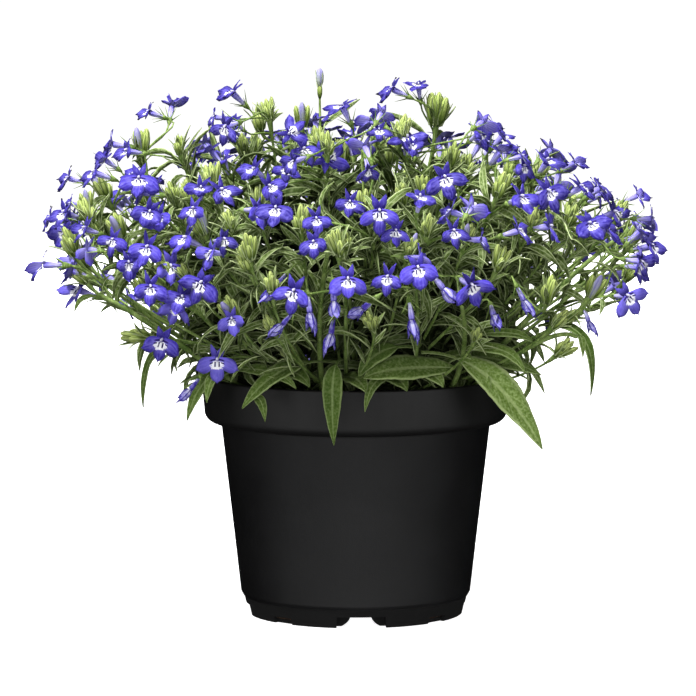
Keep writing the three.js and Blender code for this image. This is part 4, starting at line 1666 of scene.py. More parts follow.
@dataclass(frozen=True)
class HangingBlade:
    """A broad toothed leaf that rises from its start, arches over and hangs down to its end. Its
    upper face looks to a turn in degrees from the front towards +X. Push is how far its arch leans
    over and stalk how much of it is only a narrow stalk, both as shares of its length."""

    width: float
    arch: float
    turn: float
    push: float = 0.25
    stalk: float = 0.0
    pitch: float = 36.0
    tooth: float = 4.5
    tip_width: float = 0.3

    def shape(self, start: Vector, end: Vector, way: Vector) -> Shape:
        """The leaf, with material 1.

        Args:
            start: Its stalk's end.
            end: Its tip.
            way: The level direction in which it leans over.

        Returns:
            The shape.
        """
        middle = start.lerp(end, 0.5)
        middle.z = max(start.z, end.z) + self.arch * 0.5
        middle += way * self.push * (end - start).length
        line = Bend((start, middle, end))
        face = facing(self.turn, self.pitch).col[2]
        teeth = max(line.length() / self.tooth, 3)

        def surface(across: float, along: float) -> Vector:
            """A point of the leaf."""
            side = 2 * across - 1
            opened = max((along - self.stalk) / (1 - self.stalk), 0)
            swell = max(math.sin(math.pi * min(1, opened**0.8)), 0) ** 0.8
            ends = LEAF_STALK_WIDTH * (1 - along) + self.tip_width * along
            half = max(ends, self.width * swell) / 2
            tooth = 1 - 0.07 * abs(side) * (along * teeth % 1)
            tangent = line.tangent(along)
            sideways = tangent.cross(face).normalized()
            outward = sideways.cross(tangent)
            wave = 0.05 * self.width * side**2 * swell * math.sin(along * 14 + side)
            lift = 0.2 * abs(side) * half + wave
            return line.point(along) + sideways * side * half * tooth + outward * lift

        return sheet(6, 24, 0.42, surface, (1, 1))


@dataclass(frozen=True)
class RimLeaf:
    """A broad leaf from the side of a shoot, up over the rim and down to its tip."""

    shoot: int
    at: float
    tip: Place
    blade: HangingBlade
    tone: float = 0.5

    def end(self) -> Vector:
        """Its tip."""
        return sighted(*self.tip)

    def start(self, line: Bend) -> Vector:
        """Where it leaves its shoot."""
        node = line.point(self.at)
        way = (self.end() - node) * LEVEL
        tangent = line.tangent(self.at)
        sideways = (way - tangent * way.dot(tangent)).normalized()
        return node + sideways * (SHOOT_RADIUS + LEAF_STALK_WIDTH / 2 + GAP)

    def shape(self, line: Bend) -> Shape:
        """Its blade."""
        way = ((self.end() - line.point(self.at)) * LEVEL).normalized()
        return self.blade.shape(self.start(line), self.end(), way)


RIM_LEAVES = (
    RimLeaf(1, 0.3, (72.7, 63.7, -48), HangingBlade(13.4, 1, 10, 0.04, 0.3), 0.8),
    RimLeaf(1, 0.26, (72, 92.8, -36), HangingBlade(7.4, 5, 15, 0.1, 0.3), 0.3),
    RimLeaf(1, 0.34, (1.2, 92, -70), HangingBlade(8, 3, -5, 0.2, 0.2), 0.1),
    RimLeaf(0, 0.3, (-8.5, 65.2, -72), HangingBlade(7.8, 5, -5, 0.25, 0.3), 0.0),
    RimLeaf(0, 0.26, (-44.2, 79.6, -62), HangingBlade(8, 8, -20, 0.1, 0.3), 0.25),
    RimLeaf(4, 0.2, (-65.6, 74.9, -40), HangingBlade(7, 14, -20, 0.25, 0.2), 0.2),
    RimLeaf(3, 0.25, (-82.7, 80, 8), HangingBlade(5.2, 12, -34, 0.45), 0.1),
    RimLeaf(2, 0.36, (91.4, 84.7, 2), HangingBlade(5.2, 12, 34, 0.45), 0.0),
    RimLeaf(6, 0.32, (12, 58, 78), HangingBlade(8, 14, 180)),
)

# More leaves over the rim: seen start and tip, each across, up and depth, then width and arch.
LOOSE_LEAVES = (
    ((47.9, 108.7, -52), (69.2, 105.2, -58), 4.4, 5),
    ((44, 103, -50), (65.7, 93.6, -56), 5.6, 6), ((86.3, 108, -20), (88.3, 99.8, -26), 3.4, 3),
    ((38.5, 95.5, -56), (3, 91.5, -68), 11, 4), ((-47, 95, -48), (-23.2, 87.4, -66), 5.2, 5),
    ((-40, 84, -56), (-35.3, 74.6, -62), 4, 3), ((14, 92, -56), (3.6, 78.4, -66), 4.4, 4),
    ((-100.9, 123.5, -20), (-109.1, 117.7, -24), 3, 2), ((-5, 92, -52), (4, 86, -66), 7, 3),
    ((8, 93, -50), (20, 86.5, -64), 8, 3), ((22, 94, -52), (34, 88, -63), 7, 3),
    ((44, 93, -48), (52, 86, -56), 6, 3), ((-30, 94, -52), (-18, 88, -64), 6, 4),
    ((-52, 93, -40), (-58, 82, -50), 5, 4), ((30, 96, -48), (45, 99, -58), 6, 8),
)


# The highest bud: its shoot, and where it is seen and at what depth; no leaf hides it.
LONE_BUD_SHOOT = 15
LONE_BUD = (-13.9, 203, 25)
LONE_BUD_CLEAR = 10.0

# Stems in front of the others: seen across and up, and depth, of the foot, the middle and the end.
OPEN_STEM_CLEAR = 2.6
OPEN_STEMS = (
    ((-12, 80.6, -40), (-14, 112, -72), (-10.4, 142.5, -103)),
    ((34, 81.2, -32), (41.5, 100, -56), (41.3, 119, -88)),
    ((-36, 81.6, -22), (-76, 110, -43), (-99, 124, -42)),
    ((36, 81.6, -22), (74, 122, -44), (101, 145.6, -30)),
    ((38, 81.4, -26), (68, 104, -48), (85.2, 108, -46)),
)


SECTORS = 8
GOLDEN = math.radians(137.5)
CUPS = (4.0, 12.0, 20.0, 32.0, 50.0, 78.0)
SHAPES_PER_CUP = 5
CLOSED_CUP = 60.0
FRAME_FLOWER_SIZE = 1.08
FLOWER_CLEAR = 5.5

# Painted light: flowers below this height get a higher tint and are painted paler, and those above deeper
# blue, over this many millimetres.
PAINTED_LIGHT_HEIGHT = 145.0
PAINTED_LIGHT_SPREAD = 90.0

# The frame's tufts that are of a kind of their own, as numbers of their nodes.
PALE_TUFT = 4
PALE_KIND = 3
TOP_TUFT = 6
LONE_TUFT = 7
TOP_TUFT_SIZE = 1.46
FRAME_TUFT_SIZE = 1.15

# A stem's tube goes on into what it carries, and is wider just under a tuft.
STEM_OVERLAP = 0.9
FLARE = 0.8
FLARE_START = 0.84
FLARE_PART = 0.16

# Where the stalk of a further flower may spring from, and what makes a place a good one.
STALK_REACH = 15.0
STALK_RANGE = (4.0, 60.0)
STALK_STEPS = 25
ALONG_STEM = 9.0
ALONG_FLOWER = 4.0
WORST_COST = 34.0
STALK_RISE = 0.36
STALK_LEAD = 0.32
STALK_GAP = 0.1

# The plant's outline as it is seen from the front, for what grows at the sides and the back.
OUTLINE_TOP = 190.0
OUTLINE_FALL = 46.0
OUTLINE_HALF_WIDTH = 110.0

# Leaves stay inside the dome and off the rim, and are fewer at its overhanging edge.
LEAF_LIMIT = 1.05
LEAF_LIMIT_HEIGHT = 110.0
RIM_CLEAR_HEIGHT = POT_HEIGHT + 6
RIM_CLEAR_RADIUS = RIM_RADIUS + 3
EDGE_HEIGHT = 138.0
EDGE_RADIUS = 70.0
EDGE_BARE = 0.48

# How close in front of something that has to be seen a leaf may not lie.
SHOWN_DEPTH = 30.0
SHOWN_MARGIN = 2.0
CROWN_HEIGHT = 150.0
BASE_SHOOTS = 18
BASE_LEAVES = 8
BASE_LARGE_LEAVES = 5
BASE_BLADES = 34


@dataclass(frozen=True)
class Run:
    """A spiral of leaves along a stem: its first share, millimetres between leaves, and how much
    further up the stem its large and middling leaves reach."""

    start: float
    spacing: float
    grown: float = 0.0


LONG_STEM = 45.0
LONG_STEM_RUNS = (Run(0.12, 8.0), Run(0.2, 11.0, 0.2))
CROWN_STEM_RUNS = (*LONG_STEM_RUNS, Run(0.4, 4.6, 0.3))
SHORT_STEM_RUNS = (Run(0.1, 8.0),)

# Kinds of tufts: number of buds and of bracts, how far each spread, whether one bud is pale, and
# how high the buds start. The last two are the lone bud and the full tuft at the top.
TUFT_KINDS = (
    (5, 4, 8, 16, False), (4, 5, 7, 24, False), (5, 5, 9, 22, False), (5, 3, 9, 16, True),
    (6, 4, 9, 20, False), (0, 0, 0, 0, True, 3.4), (9, 6, 10, 28, False),
)


class Sector:
    """The pieces that gather what grows in one eighth of the plant beyond the frame's own shoots."""

    def __init__(self, number: int) -> None:
        """Starts the pieces.

        Args:
            number: The sector's number in their names.
        """
        self.stems = Piece(f"side_stems_{number}", Finish.STEM, (Finish.STEM,))
        self.leaves = Piece(f"side_leaves_{number}", Finish.LEAF, LEAVES)
        self.blooms = Piece(f"side_blooms_{number}", Finish.PETAL, PETALS)
        self.tufts = Piece(f"side_tufts_{number}", Finish.BUD, BUDS)

    def finish(self, materials: Materials) -> None:
        """Makes the pieces' objects."""
        for piece in (self.stems, self.leaves, self.blooms, self.tufts):
            piece.finish(materials)


class Plant:
    """Everything that grows from the soil."""

    def __init__(self, materials: Materials) -> None:
        """Makes the shapes that are copied.

        Args:
            materials: The object's materials.
        """
        self.materials = materials
        self.dice = random.Random(SEED)
        self.sectors = [Sector(number + 1) for number in range(SECTORS)]
        self.lines: list[Bend] = []
        self.shown: list[tuple[Vector, float]] = []
        self.calyx = CalyxShape().stamp()
        self.flowers = {
            cup: [self.flower_shape(cup, 2, 5).stamp() for _ in range(SHAPES_PER_CUP)] for cup in CUPS
        }
        kinds = [TuftShape(*kind, seed=seed).stamp() for seed, kind in enumerate(TUFT_KINDS, 1)]
        *self.tufts, self.lone_bud, self.full_tuft = kinds
        self.small_leaves = self.leaf_stamps(12, (9, 16), (1.3, 2.2), (-40, 130))
        self.middle_leaves = self.leaf_stamps(14, (15, 25), (2.1, 3.4), (-30, 150))
        self.large_leaves = self.leaf_stamps(12, (17, 27), (2.8, 4.8), (0, 140), 0.08)

    def flower_shape(self, cup: float, columns: int, rows: int) -> FlowerShape:
        """A flower of a given cup whose sizes vary a little."""
        dice = self.dice
        closed = cup > CLOSED_CUP
        return FlowerShape(
            cup=cup + dice.uniform(-3, 3),
            lobe_length=dice.uniform(5.6, 7.4) if closed else dice.uniform(7.3, 8.5),
            lobe_width=dice.uniform(4.4, 5.3) * (0.9 if closed else 1),
            side_angle=dice.uniform(62, 75),
            arch=dice.uniform(0.3, 1.3),
            sag=dice.uniform(0.3, 1.4),
            twist=dice.uniform(-0.8, 0.8) * (2 if closed else 1),
            ripple=dice.uniform(0.5, 1.0) if closed else dice.uniform(0.15, 0.45),
            uneven=(0, 0, 0) if closed else tuple(dice.uniform(-16, 22) for _ in range(3)),
            faded=closed,
            upper_length=dice.uniform(4.8, 6.4) * (0.8 if closed else 1),
            upper_width=dice.uniform(1.9, 2.7),
            upper_angle=dice.uniform(19, 28),
            upper_tilt=dice.uniform(60, 78) if closed else dice.uniform(-6, 22),
            curl=dice.uniform(-3.4, -1) if closed else dice.uniform(0.2, 1.6),
            columns=columns,
            rows=rows,
        )

    def leaf_stamps(
        self, count: int, length: Range, width: Range, droop: Range, teeth: float = 0.0
    ) -> list[Mesh]:
        """Several leaves whose sizes lie in the given ranges."""
        ranges = (length, width, droop, (-130, 130))
        made = []
        for _ in range(count):
            sizes = [self.dice.uniform(*limits) for limits in ranges]
            made.append(LeafShape(*sizes, fold=0.6, teeth=teeth).stamp())
        return made

    def sector(self, place: Vector) -> Sector:
        """The sector that a place lies in."""
        share = math.atan2(place.y, place.x) / (2 * math.pi) % 1
        return self.sectors[int(share * SECTORS) % SECTORS]

    def stalk(self, piece: Piece, line: Bend, gauge: Gauge, flare: float = 0.0) -> None:
        """Adds a stem.

        Args:
            piece: The piece that it is added to.
            line: Its middle line.
            gauge: Its thickness.
            flare: How much wider its last part grows.
        """
        shares = [step / gauge.steps for step in range(gauge.steps + 1)]
        places = [line.point(share) for share in shares]
        places[-1] = places[-1] + line.tangent(1) * STEM_OVERLAP
        radii = []
        for share in shares:
            radius = gauge.thick + (gauge.thin - gauge.thick) * share**0.8
            radii.append(radius + flare * max(share - FLARE_START, 0) / FLARE_PART)
        piece.tube(places, radii, self.dice.random())

    def tint_with_painted_light(self, place: Vector) -> float:
        """Tint of a flower: a random tone plus painted light that makes those low down paler than those at
        the crown.
        """
        lowness = (PAINTED_LIGHT_HEIGHT - place.z) / PAINTED_LIGHT_SPREAD
        return kept(self.dice.random() + lowness)

    def spin(self) -> Matrix:
        """A turn about Z at random."""
        return Matrix.Rotation(self.dice.uniform(0, 6), 4, "Z")

    def open_flower(
        self, piece: Piece, stems: Piece, bloom: Bloom, shape: Mesh, size: float = 1.0
    ) -> None:
        """Adds a flower to a piece and its calyx to a piece of stems.

        Args:
            piece: The flower's piece.
            stems: The calyx's piece.
            bloom: Where and how the flower stands.
            shape: The flower.
            size: Its scale.
        """
        place = bloom.place(bloom.mouth) @ Matrix.Scale(size, 4)
        # the flower's tint holds painted light: paler low down
        piece.add(shape, place, self.tint_with_painted_light(bloom.mouth))
        stems.add(self.calyx, place @ self.spin(), self.dice.random())
        self.shown.append((bloom.mouth, FLOWER_CLEAR))

    def tuft(self, piece: Piece, bloom: Bloom, shape: Mesh, size: float = 1.0) -> None:
        """Adds a tuft of buds."""
        spin = self.spin() @ Matrix.Scale(size, 4)
        piece.add(shape, bloom.place(bloom.heel()) @ spin, self.dice.uniform(0.2, 1))

    def flare(self, bloom: Bloom) -> float:
        """How much wider a stem grows just under a bloom."""
        return FLARE if bloom.kind is Kind.TUFT else 0.0

    def grow_frame_shoots(self) -> None:
        """The shoots that the frame holds, with their branches, flowers and tufts."""
        flowers = 0
        tufts = 0
        for index, shoot in enumerate(SHOOTS, 1):
            line = shoot.line()
            self.lines.append(line)
            stems = Piece(f"stem_{index:02d}", Finish.STEM, (Finish.STEM,), f"shoot_{index:02d}")
            if index == LONE_BUD_SHOOT:
                self.stalk(stems, line, LONE_BUD_GAUGE)
            else:
                self.stalk(stems, line, SHOOT_GAUGE, self.flare(shoot.blooms[0]))
            for bloom in shoot.blooms[1:]:
                side = branch(line, bloom)
                self.lines.append(side)
                self.stalk(stems, side, BRANCH_GAUGE, self.flare(bloom))
            for bloom in shoot.blooms:
                if bloom.kind is Kind.FLOWER:
                    flowers += 1
                    self.frame_flower(flowers, bloom, stems)
                else:
                    tufts += 1
                    self.frame_tuft(tufts, bloom)
            stems.finish(self.materials)
        self.shown.append((sighted(*LONE_BUD), LONE_BUD_CLEAR))

    def frame_flower(self, number: int, bloom: Bloom, stems: Piece) -> None:
        """Adds one of the frame's flowers as a piece of its own.

        Args:
            number: Its number in the frame.
            bloom: Where and how it stands.
            stems: The piece of its shoot.
        """
        piece = Piece(f"bloom_{number:02d}", Finish.PETAL, PETALS, f"flower_{number:02d}")
        shape = self.flower_shape(bloom.cup, 4, 8).stamp()
        self.open_flower(piece, stems, bloom, shape, FRAME_FLOWER_SIZE)
        piece.finish(self.materials)

    def frame_tuft(self, number: int, bloom: Bloom) -> None:
        """Adds one of the frame's tufts as a piece of its own.

        Args:
            number: Its number in the frame.
            bloom: Where and how it stands.
        """
        piece = Piece(f"tuft_{number:02d}", Finish.BUD, BUDS, f"bud_cluster_{number:02d}")
        pale = self.tufts[PALE_KIND]
        special = {PALE_TUFT: pale, TOP_TUFT: self.full_tuft, LONE_TUFT: self.lone_bud}
        size = TOP_TUFT_SIZE if number == TOP_TUFT else FRAME_TUFT_SIZE
        self.tuft(piece, bloom, special.get(number, self.tufts[number % 2]), size)
        piece.finish(self.materials)

    def grow_rim_leaves(self) -> None:
        """The broad leaves that hang over the rim."""
        for index, leaf in enumerate(RIM_LEAVES, 1):
            line = SHOOTS[leaf.shoot].line()
            piece = Piece(f"rim_blade_{index:02d}", Finish.LEAF, LEAVES, f"rim_leaf_{index:02d}")
            piece.add(stamp("blade", [leaf.shape(line)]), Matrix(), leaf.tone)
            piece.finish(self.materials)
            self.keep_free(leaf.start(line), leaf.end(), leaf.blade.width)
        for foot, tip, width, arch in LOOSE_LEAVES:
            start = sighted(*foot)
            end = sighted(*tip)
            way = ((end - start) * LEVEL).normalized()
            turn = math.degrees(math.atan2(end.x, -end.y)) * 0.5
            self.blade(start, end, way, HangingBlade(width, arch, turn), 0.6)
            self.keep_free(start, end, width)

    def blade(
        self, start: Vector, end: Vector, way: Vector, blade: HangingBlade, tone: float = 1.0
    ) -> None:
        """Adds a broad leaf of a tint up to a tone."""
        shape = stamp("blade", [blade.shape(start, end, way)])
        self.sector(end).leaves.add(shape, Matrix(), tone * self.dice.random())

    def keep_free(self, start: Vector, end: Vector, width: float) -> None:
        """Keeps small leaves from lying in front of a broad one."""
        for share in (0.5, 0.7, 0.9):
            self.shown.append((start.lerp(end, share), width / 2))

    def grow_open_stems(self) -> None:
        """Stems that run free along the front of the plant, from the soil's edge upwards."""
        steps = 24
        for places in OPEN_STEMS:
            foot, middle, end = (sighted(*place) for place in places)
            line = Bend((foot, 2 * middle - foot.lerp(end, 0.5), end))
            self.lines.append(line)
            self.stalk(self.sector(middle).stems, line, OPEN_GAUGE)
            for step in range(4, steps):
                self.shown.append((line.point(step / steps), OPEN_STEM_CLEAR))

    def root(self, top: Vector) -> Range:
        """Azimuth and radius at which a further shoot stands: nearer the middle for a higher tip."""
        height = kept((top.z - 100) / 100)
        azimuth = math.degrees(math.atan2(top.y, top.x)) + self.dice.uniform(-14, 14)
        return azimuth, 34 - 24 * height + self.dice.uniform(-5, 5)

    def further_shoot(self, bloom: Bloom, bow: float, gauge: Gauge = TUFT_GAUGE) -> None:
        """Adds a shoot that ends in a bloom."""
        azimuth, radius = self.root(bloom.mouth)
        line = Shoot(azimuth, radius, bow, (bloom,)).line()
        self.lines.append(line)
        self.stalk(self.sector(bloom.mouth).stems, line, gauge, self.flare(bloom))

    def leaning(self, top: Vector) -> Matrix:
        """The pose of a tuft whose top is at a place: outwards low down, upright near the crown."""
        turn = math.degrees(math.atan2(top.x, -top.y)) + self.dice.uniform(-20, 20)
        pitch = 42 + 40 * kept((top.z - 120) / 70) + self.dice.uniform(-8, 8)
        return facing(turn, min(pitch, 86))

    def grow_further_shoots(self) -> None:
        """Shoots between those of the frame, each ending in a tuft of buds."""
        tops = [on_dome_front(*place) for place in FRONT_TUFTS]
        for height, count, share in TUFT_RINGS:
            for number in range(count):
                azimuth = -14 + 208 * (number + self.dice.uniform(0.2, 0.8)) / count
                tops.append(self.under_outline(on_dome_around(azimuth, height, share)))
        for number, top in enumerate(tops):
            bloom = Bloom(Kind.TUFT, top, self.leaning(top), size=self.dice.uniform(0.8, 1.15))
            self.further_shoot(bloom, self.dice.uniform(2, 9))
            self.tuft(self.sector(top).tufts, bloom, self.tufts[number % len(self.tufts)])

    def under_outline(self, place: Vector) -> Vector:
        """A place at the side or back, moved until it is seen inside the plant's outline."""
        across, up = seen(place)
        fall = OUTLINE_FALL * (across / DOME_HALF_WIDTH) ** 2
        limit = OUTLINE_TOP - fall + self.dice.uniform(-6, 4)
        spare = max(abs(across) - OUTLINE_HALF_WIDTH, 0)
        return place - UP * max(up - limit, 0) - Vector((math.copysign(spare, across), 0, 0))

    def springing(self, bloom: Bloom) -> tuple[float, Vector, Vector]:
        """The best place for a flower's stalk to leave a stem.

        Args:
            bloom: The flower.

        Returns:
            Its cost, lower for a better one, the place and the stem's direction there.
        """
        heel = bloom.heel(STALK_GAP)
        nearest, furthest = STALK_RANGE
        best = (math.inf, Vector(), Vector())
        for line in self.lines:
            for step in range(6, STALK_STEPS):
                share = step / STALK_STEPS
                place = line.point(share)
                apart = heel - place
                distance = apart.length
                if distance < nearest or distance > furthest:
                    continue
                tangent = line.tangent(share)
                cost = abs(distance - STALK_REACH)
                cost += ALONG_STEM * (1 - tangent.dot(apart) / distance)
                cost += ALONG_FLOWER * (1 - bloom.pose.col[2].dot(apart) / distance)
                if cost < best[0]:
                    best = (cost, place, tangent)
        return best

    def attached(self, mouth: Vector, pose: Matrix, cup: float, size: float) -> None:
        """Adds a flower on a stalk from the best place on a stem.

        Args:
            mouth: Where its mouth is.
            pose: How it is turned.
            cup: How far its lobes rise.
            size: Its scale.
        """
        bloom = Bloom(Kind.FLOWER, mouth, pose, cup, size)
        sector = self.sector(mouth)
        cost, place, tangent = self.springing(bloom)
        if cost > WORST_COST:
            self.further_shoot(bloom, 4, SPARE_GAUGE)
        else:
            heel = bloom.heel(STALK_GAP)
            length = (heel - place).length
            middle = place + tangent * STALK_RISE * length
            line = Bend((place, middle, bloom.heel(STALK_GAP + STALK_LEAD * length), heel))
            self.stalk(sector.stems, line, FLOWER_GAUGE)
            self.bract(line)
        nearest = min(CUPS, key=lambda known: abs(known - cup))
        self.open_flower(sector.blooms, sector.stems, bloom, self.dice.choice(self.flowers[nearest]))

    def bract(self, line: Bend) -> None:
        """Adds the narrow leaf at the foot of a flower's stalk."""
        dice = self.dice
        turn = dice.uniform(0, 6)
        self.leaf(line, 0.02, turn, dice.uniform(20, 50), 0.5, self.small_leaves, dice.uniform(0.6, 1.0))

    def grow_flowers(self) -> None:
        """The flowers beyond those of the frame."""
        shake = self.dice.uniform
        for across, up, turn, pitch, roll, cup, behind in FRONT_FLOWERS:
            mouth = on_dome_front(across, up, behind)
            pose = facing(turn + shake(-24, 24), pitch + shake(-10, 14), roll + shake(-16, 16))
            self.attached(mouth, pose, cup + shake(-4, 12), shake(0.82, 1.05))
        for across, up, turn, pitch, behind in CROWN_FLOWERS:
            mouth = on_dome_front(across, up, behind)
            self.attached(mouth, facing(turn, pitch, shake(-25, 25)), shake(4, 44), shake(0.74, 1.0))
        for across, up, turn, pitch, behind in FADED_FLOWERS:
            mouth = on_dome_front(across, up, behind)
            pose = facing(turn, pitch, 180 + shake(-30, 30))
            self.attached(mouth, pose, CUPS[-1], shake(0.75, 0.98))
        for height, count, share in FLOWER_RINGS:
            start = 6 if height < 130 else -10
            for number in range(count):
                azimuth = start + (180 - 2 * start) * (number + shake(0.1, 0.9)) / count
                place = on_dome_around(azimuth, height + shake(-5, 5), share * shake(0.94, 1.0))
                place = self.under_outline(place)
                pitch = 8 + 60 * max(height - 140, 0) / 60 + shake(-14, 18)
                pose = facing(azimuth + 90 + shake(-45, 45), pitch, shake(-25, 25))
                cup = self.dice.choice((4, 12, 12, 20, 20, 32, 50))
                self.attached(place, pose, cup, shake(0.72, 0.98))

    def hides_something(self, places: Sequence[Vector]) -> bool:
        """Whether a leaf through these places would lie in front of a flower, rim leaf or open stem."""
        for place in places:
            spot = seen(place)
            for shown, clear in self.shown:
                in_front = shown.y < SHOWN_DEPTH and place.y < shown.y + SHOWN_MARGIN
                if in_front and (seen(shown) - spot).length < clear:
                    return True
        return False

    def unwanted(self, place: Vector, tip: Vector) -> bool:
        """Whether a leaf would stick out of the dome or lie on the rim, or is one of those left out
        at the dome's overhanging edge.

        Args:
            place: Where it leaves its stem.
            tip: Its tip.

        Returns:
            Whether it is left out.
        """
        if place.z > LEAF_LIMIT_HEIGHT and self.outness(tip) > LEAF_LIMIT:
            return True
        on_pot = tip.y < 0 or math.hypot(tip.x, tip.y) < RIM_CLEAR_RADIUS
        if tip.z < RIM_CLEAR_HEIGHT and on_pot:
            return True
        at_edge = place.z < EDGE_HEIGHT and math.hypot(place.x, place.y) > EDGE_RADIUS
        return at_edge and self.dice.random() < EDGE_BARE

    def leaf(
        self,
        line: Bend,
        share: float,
        turn: float,
        lean: float,
        radius: float,
        stamps: Sequence[Mesh],
        size: float,
    ) -> None:
        """Adds one leaf to a stem, unless it would hide something.

        Args:
            line: The stem's middle line.
            share: Where on it.
            turn: Angle around the stem.
            lean: Degrees from the stem's direction.
            radius: The stem's radius there.
            stamps: The leaves to choose from.
            size: Scale of the leaf.
        """
        tangent = line.tangent(share)
        level = tangent.cross(UP if abs(tangent.z) < 0.95 else Vector((1, 0, 0))).normalized()
        out = level * math.cos(turn) + tangent.cross(level) * math.sin(turn)
        angle = math.radians(lean)
        way = tangent * math.cos(angle) + out * math.sin(angle)
        face = tangent * math.sin(angle) - out * math.cos(angle)
        place = line.point(share) + out * radius * 0.7
        shape = self.dice.choice(stamps)
        length = max(vertex.co.length for vertex in shape.vertices) * size
        if self.hides_something([place + way * length * part for part in (0.35, 0.7, 1.0)]):
            return
        if self.unwanted(place, place + way * length):
            return
        matrix = Matrix.Translation(place) @ grown_along(way, face).to_4x4() @ Matrix.Scale(size, 4)
        self.sector(place).leaves.add(shape, matrix, self.light_at(place))

    def outness(self, place: Vector) -> float:
        """How far out a place is: 0 in the middle of the dome and 1 on its surface."""
        return ((place - DOME_CENTRE) * dome_scale(place.z)).length

    def light_at(self, place: Vector) -> float:
        """Tint of a leaf as painted light and shade: dark deep inside and low down, light near the dome's
        surface, with a random share.
        """
        height = kept((place.z - 95) / 60)
        depth = 1.6 * (self.outness(place) - 0.55)
        return kept(depth + 0.25 * height + self.dice.uniform(-0.5, 0.2))

    def leafy(self, line: Bend, run: Run) -> None:
        """Sets leaves in a spiral along a stem, large low down and small near its tip.

        Args:
            line: The stem's middle line.
            run: Where the spiral starts and how close its leaves are.
        """
        dice = self.dice
        length = line.length()
        turn = dice.uniform(0, 6)
        share = run.start
        end = line.point(1)
        at_edge = math.hypot(end.x, end.y) > 84 and end.z < CROWN_HEIGHT
        spacing = run.spacing * (1.4 if at_edge else 1)
        while share < 0.985:
            stamps = self.small_leaves
            if share < 0.3 + run.grown:
                stamps = self.large_leaves
            elif share < 0.62 + run.grown:
                stamps = self.middle_leaves
            lean = dice.uniform(32, 68) * (1 - 0.4 * share**2)
            self.leaf(line, share, turn, lean, 0.9 - 0.4 * share, stamps, dice.uniform(0.75, 1.15))
            turn += GOLDEN + dice.uniform(-0.4, 0.4)
            share += spacing / length * dice.uniform(0.7, 1.3) * (0.7 if share < 0.6 else 1)

    def grow_leaves(self) -> None:
        """Leaves on every shoot and branch."""
        for line in self.lines:
            runs = SHORT_STEM_RUNS
            if line.length() > LONG_STEM:
                runs = CROWN_STEM_RUNS if line.point(1).z > CROWN_HEIGHT else LONG_STEM_RUNS
            for run in runs:
                self.leafy(line, run)

    def base_shoot(self, angle: float) -> None:
        """Adds a short leafy shoot at an angle around the soil."""
        dice = self.dice
        spread = dice.uniform(44, 70)
        height = dice.uniform(100, 122)
        start = around(angle, dice.uniform(22, 42), SOIL_TOP)
        end = around(angle, spread, height)
        line = Bend((start, start.lerp(end, 0.4) + UP * dice.uniform(4, 12), end))
        self.stalk(self.sector(end).stems, line, BASE_GAUGE)
        turn = dice.uniform(0, 6)
        for step in range(BASE_LEAVES):
            share = 0.16 + 0.82 * step / (BASE_LEAVES - 1)
            stamps = self.large_leaves if step < BASE_LARGE_LEAVES else self.middle_leaves
            self.leaf(line, share, turn, dice.uniform(38, 70), 0.7, stamps, dice.uniform(0.75, 1.1))
            turn += GOLDEN

    def base_blade(self, share: float) -> None:
        """Adds a broad leaf that reaches the rim, at a share of the way round the sides and the back."""
        dice = self.dice
        out = around(math.radians(-30 + share))
        start = out * dice.uniform(34, 44) + UP * dice.uniform(88, 94)
        way = (out + UP.cross(out) * dice.uniform(-0.5, 0.5)).normalized()
        end = out * RIM_RADIUS + way * dice.uniform(4, 12) + UP * dice.uniform(82, 97)
        turn = math.degrees(math.atan2(way.x, -way.y))
        self.blade(start, end, way, HangingBlade(dice.uniform(4.6, 8), dice.uniform(6, 14), turn))

    def grow_base(self) -> None:
        """Short leafy shoots around the soil and broad leaves that reach the rim."""
        for number in range(BASE_SHOOTS):
            self.base_shoot(number * GOLDEN)
        for number in range(BASE_BLADES):
            self.base_blade(240 * (number + self.dice.uniform(0.1, 0.9)) / BASE_BLADES)

    def build(self) -> None:
        """Makes the whole plant."""
        self.grow_frame_shoots()
        self.grow_rim_leaves()
        self.grow_open_stems()
        self.grow_further_shoots()
        self.grow_flowers()
        self.grow_leaves()
        self.grow_base()
        for sector in self.sectors:
            sector.finish(self.materials)


# ---------------- studio


@dataclass(frozen=True)
class Lamp:
    """A soft box that is aimed at the plant; lengths in metres, power in watts."""

    name: str
    place: Place
    size: Range
    power: float
    soft: bool = True
    gloss: bool = False
    aim: float = 0.12

    def add(self) -> None:
        """Adds the lamp; soft is whether it lights surfaces evenly, gloss whether it shows in them."""
        data = bpy.data.lights.new(self.name, "AREA")
        data.shape = "RECTANGLE"
        data.size, data.size_y = self.size
        data.energy = self.power
        lamp = placed(self.name, data)
        lamp.visible_diffuse = self.soft
        lamp.visible_glossy = self.gloss
        lamp.location = self.place
        way = Vector((0, 0, self.aim)) - Vector(self.place)
        lamp.rotation_euler = way.to_track_quat("-Z", "Y").to_euler()


LAMPS = (
    Lamp("front_box", (0, -1.7, 0.45), (1.6, 1.1), 12.5),
    Lamp("low_box", (0, -1.5, -0.2), (1.4, 0.7), 9),
    Lamp("front_sheen", (0, -1.7, -0.25), (9, 2.4), 67, False, True),
    Lamp("left_sheen", (-2.3, -1.2, -0.1), (1.5, 2.4), 10, False, True),
    Lamp("right_sheen", (2.3, -1.2, -0.1), (1.5, 2.4), 9, False, True),
    Lamp("top_box", (-0.3, -0.45, 1.3), (0.4, 0.4), 35, True, True),
    Lamp("left_box", (-1.4, -0.3, 0.7), (0.6, 0.9), 4),
    Lamp("right_box", (1.4, -0.3, 0.7), (0.6, 0.9), 3),
    Lamp("back_box", (0, 1.6, 0.4), (1.4, 0.8), 18),
)


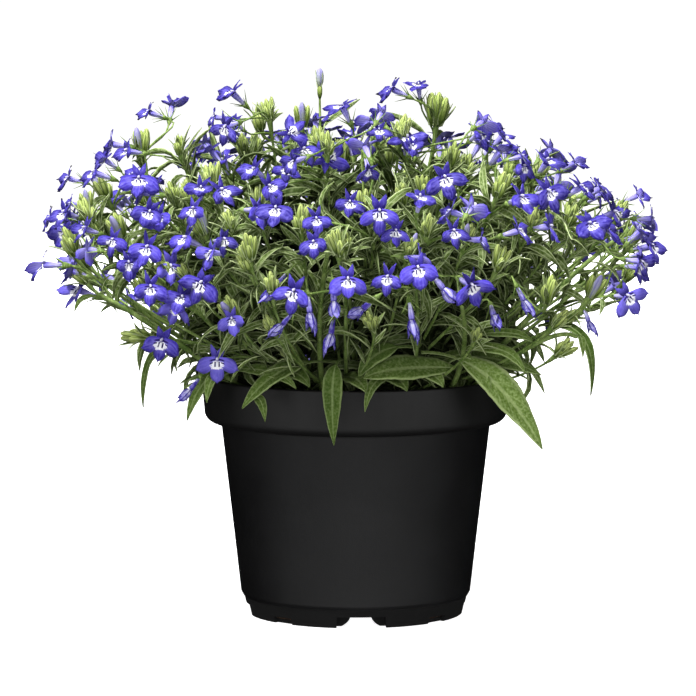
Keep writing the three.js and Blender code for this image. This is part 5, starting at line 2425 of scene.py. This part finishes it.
@dataclass(frozen=True)
class Studio:
    """Camera, lamps, a pale floor and a white room."""

    tilt: float = 0.1048
    lens: float = 240.95
    sensor: float = 36.0
    clip_end: float = 60.0
    floor_radius: float = 14.0
    floor_paint: Paint = (0.9, 0.9, 0.9, 1)
    floor_glow: float = 1.0
    ambient: float = 0.04
    backdrop: float = 1.02

    def camera(self) -> None:
        """Sets up the camera."""
        data = bpy.data.cameras.new("camera")
        data.lens = self.lens
        data.sensor_width = self.sensor
        data.clip_end = self.clip_end
        camera = placed("camera", data)
        camera.location = VIEWER * MM
        camera.rotation_euler = (math.pi / 2 - self.tilt, 0, 0)
        bpy.context.scene.camera = camera

    def floor(self) -> None:
        """Adds the floor."""
        bm = bmesh.new()
        bmesh.ops.create_circle(bm, cap_ends=True, segments=96, radius=self.floor_radius)
        mesh = bpy.data.meshes.new("floor")
        bm.to_mesh(mesh)
        bm.free()
        white = (1, 1, 1, 1)
        n = Nodes(
            "floor_white",
            Roughness=0.9,
            Specular_IOR_Level=0.0,
            Base_Color=self.floor_paint,
            Emission_Color=white,
            Emission_Strength=self.floor_glow,
        )
        mesh.materials.append(n.material)
        floor = placed("floor", mesh)
        floor.visible_diffuse = False
        floor.visible_glossy = False
        floor.visible_shadow = False

    def room(self) -> None:
        """A white room that lights the shadows softly."""
        world = bpy.data.worlds.new("room")
        bpy.context.scene.world = world
        world.use_nodes = True
        tree = world.node_tree
        shade = next(node for node in tree.nodes if node.type == "BACKGROUND")
        shade.inputs["Color"].default_value = (1, 1, 1, 1)
        world.cycles_visibility.glossy = False
        path = tree.nodes.new("ShaderNodeLightPath")
        strength = tree.nodes.new("ShaderNodeMapRange")
        strength.inputs["To Min"].default_value = self.ambient
        strength.inputs["To Max"].default_value = self.backdrop
        tree.links.new(path.outputs["Is Camera Ray"], strength.inputs["Value"])
        tree.links.new(strength.outputs[0], shade.inputs["Strength"])

    def build(self) -> None:
        """Sets up the whole studio."""
        self.camera()
        for lamp in LAMPS:
            lamp.add()
        self.floor()
        self.room()
        bpy.context.scene.view_settings.view_transform = "Standard"


def main() -> None:
    """Builds the studio and every piece around the frame."""
    logging.basicConfig(level=logging.INFO, format="%(message)s")
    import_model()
    Studio().build()
    materials = {finish: builder.build() for finish, builder in finishes().items()}
    pot = Pot()
    pot.build(materials)
    Soil(pot).build(materials)
    Plant(materials).build()


if __name__ == "__main__":
    main()
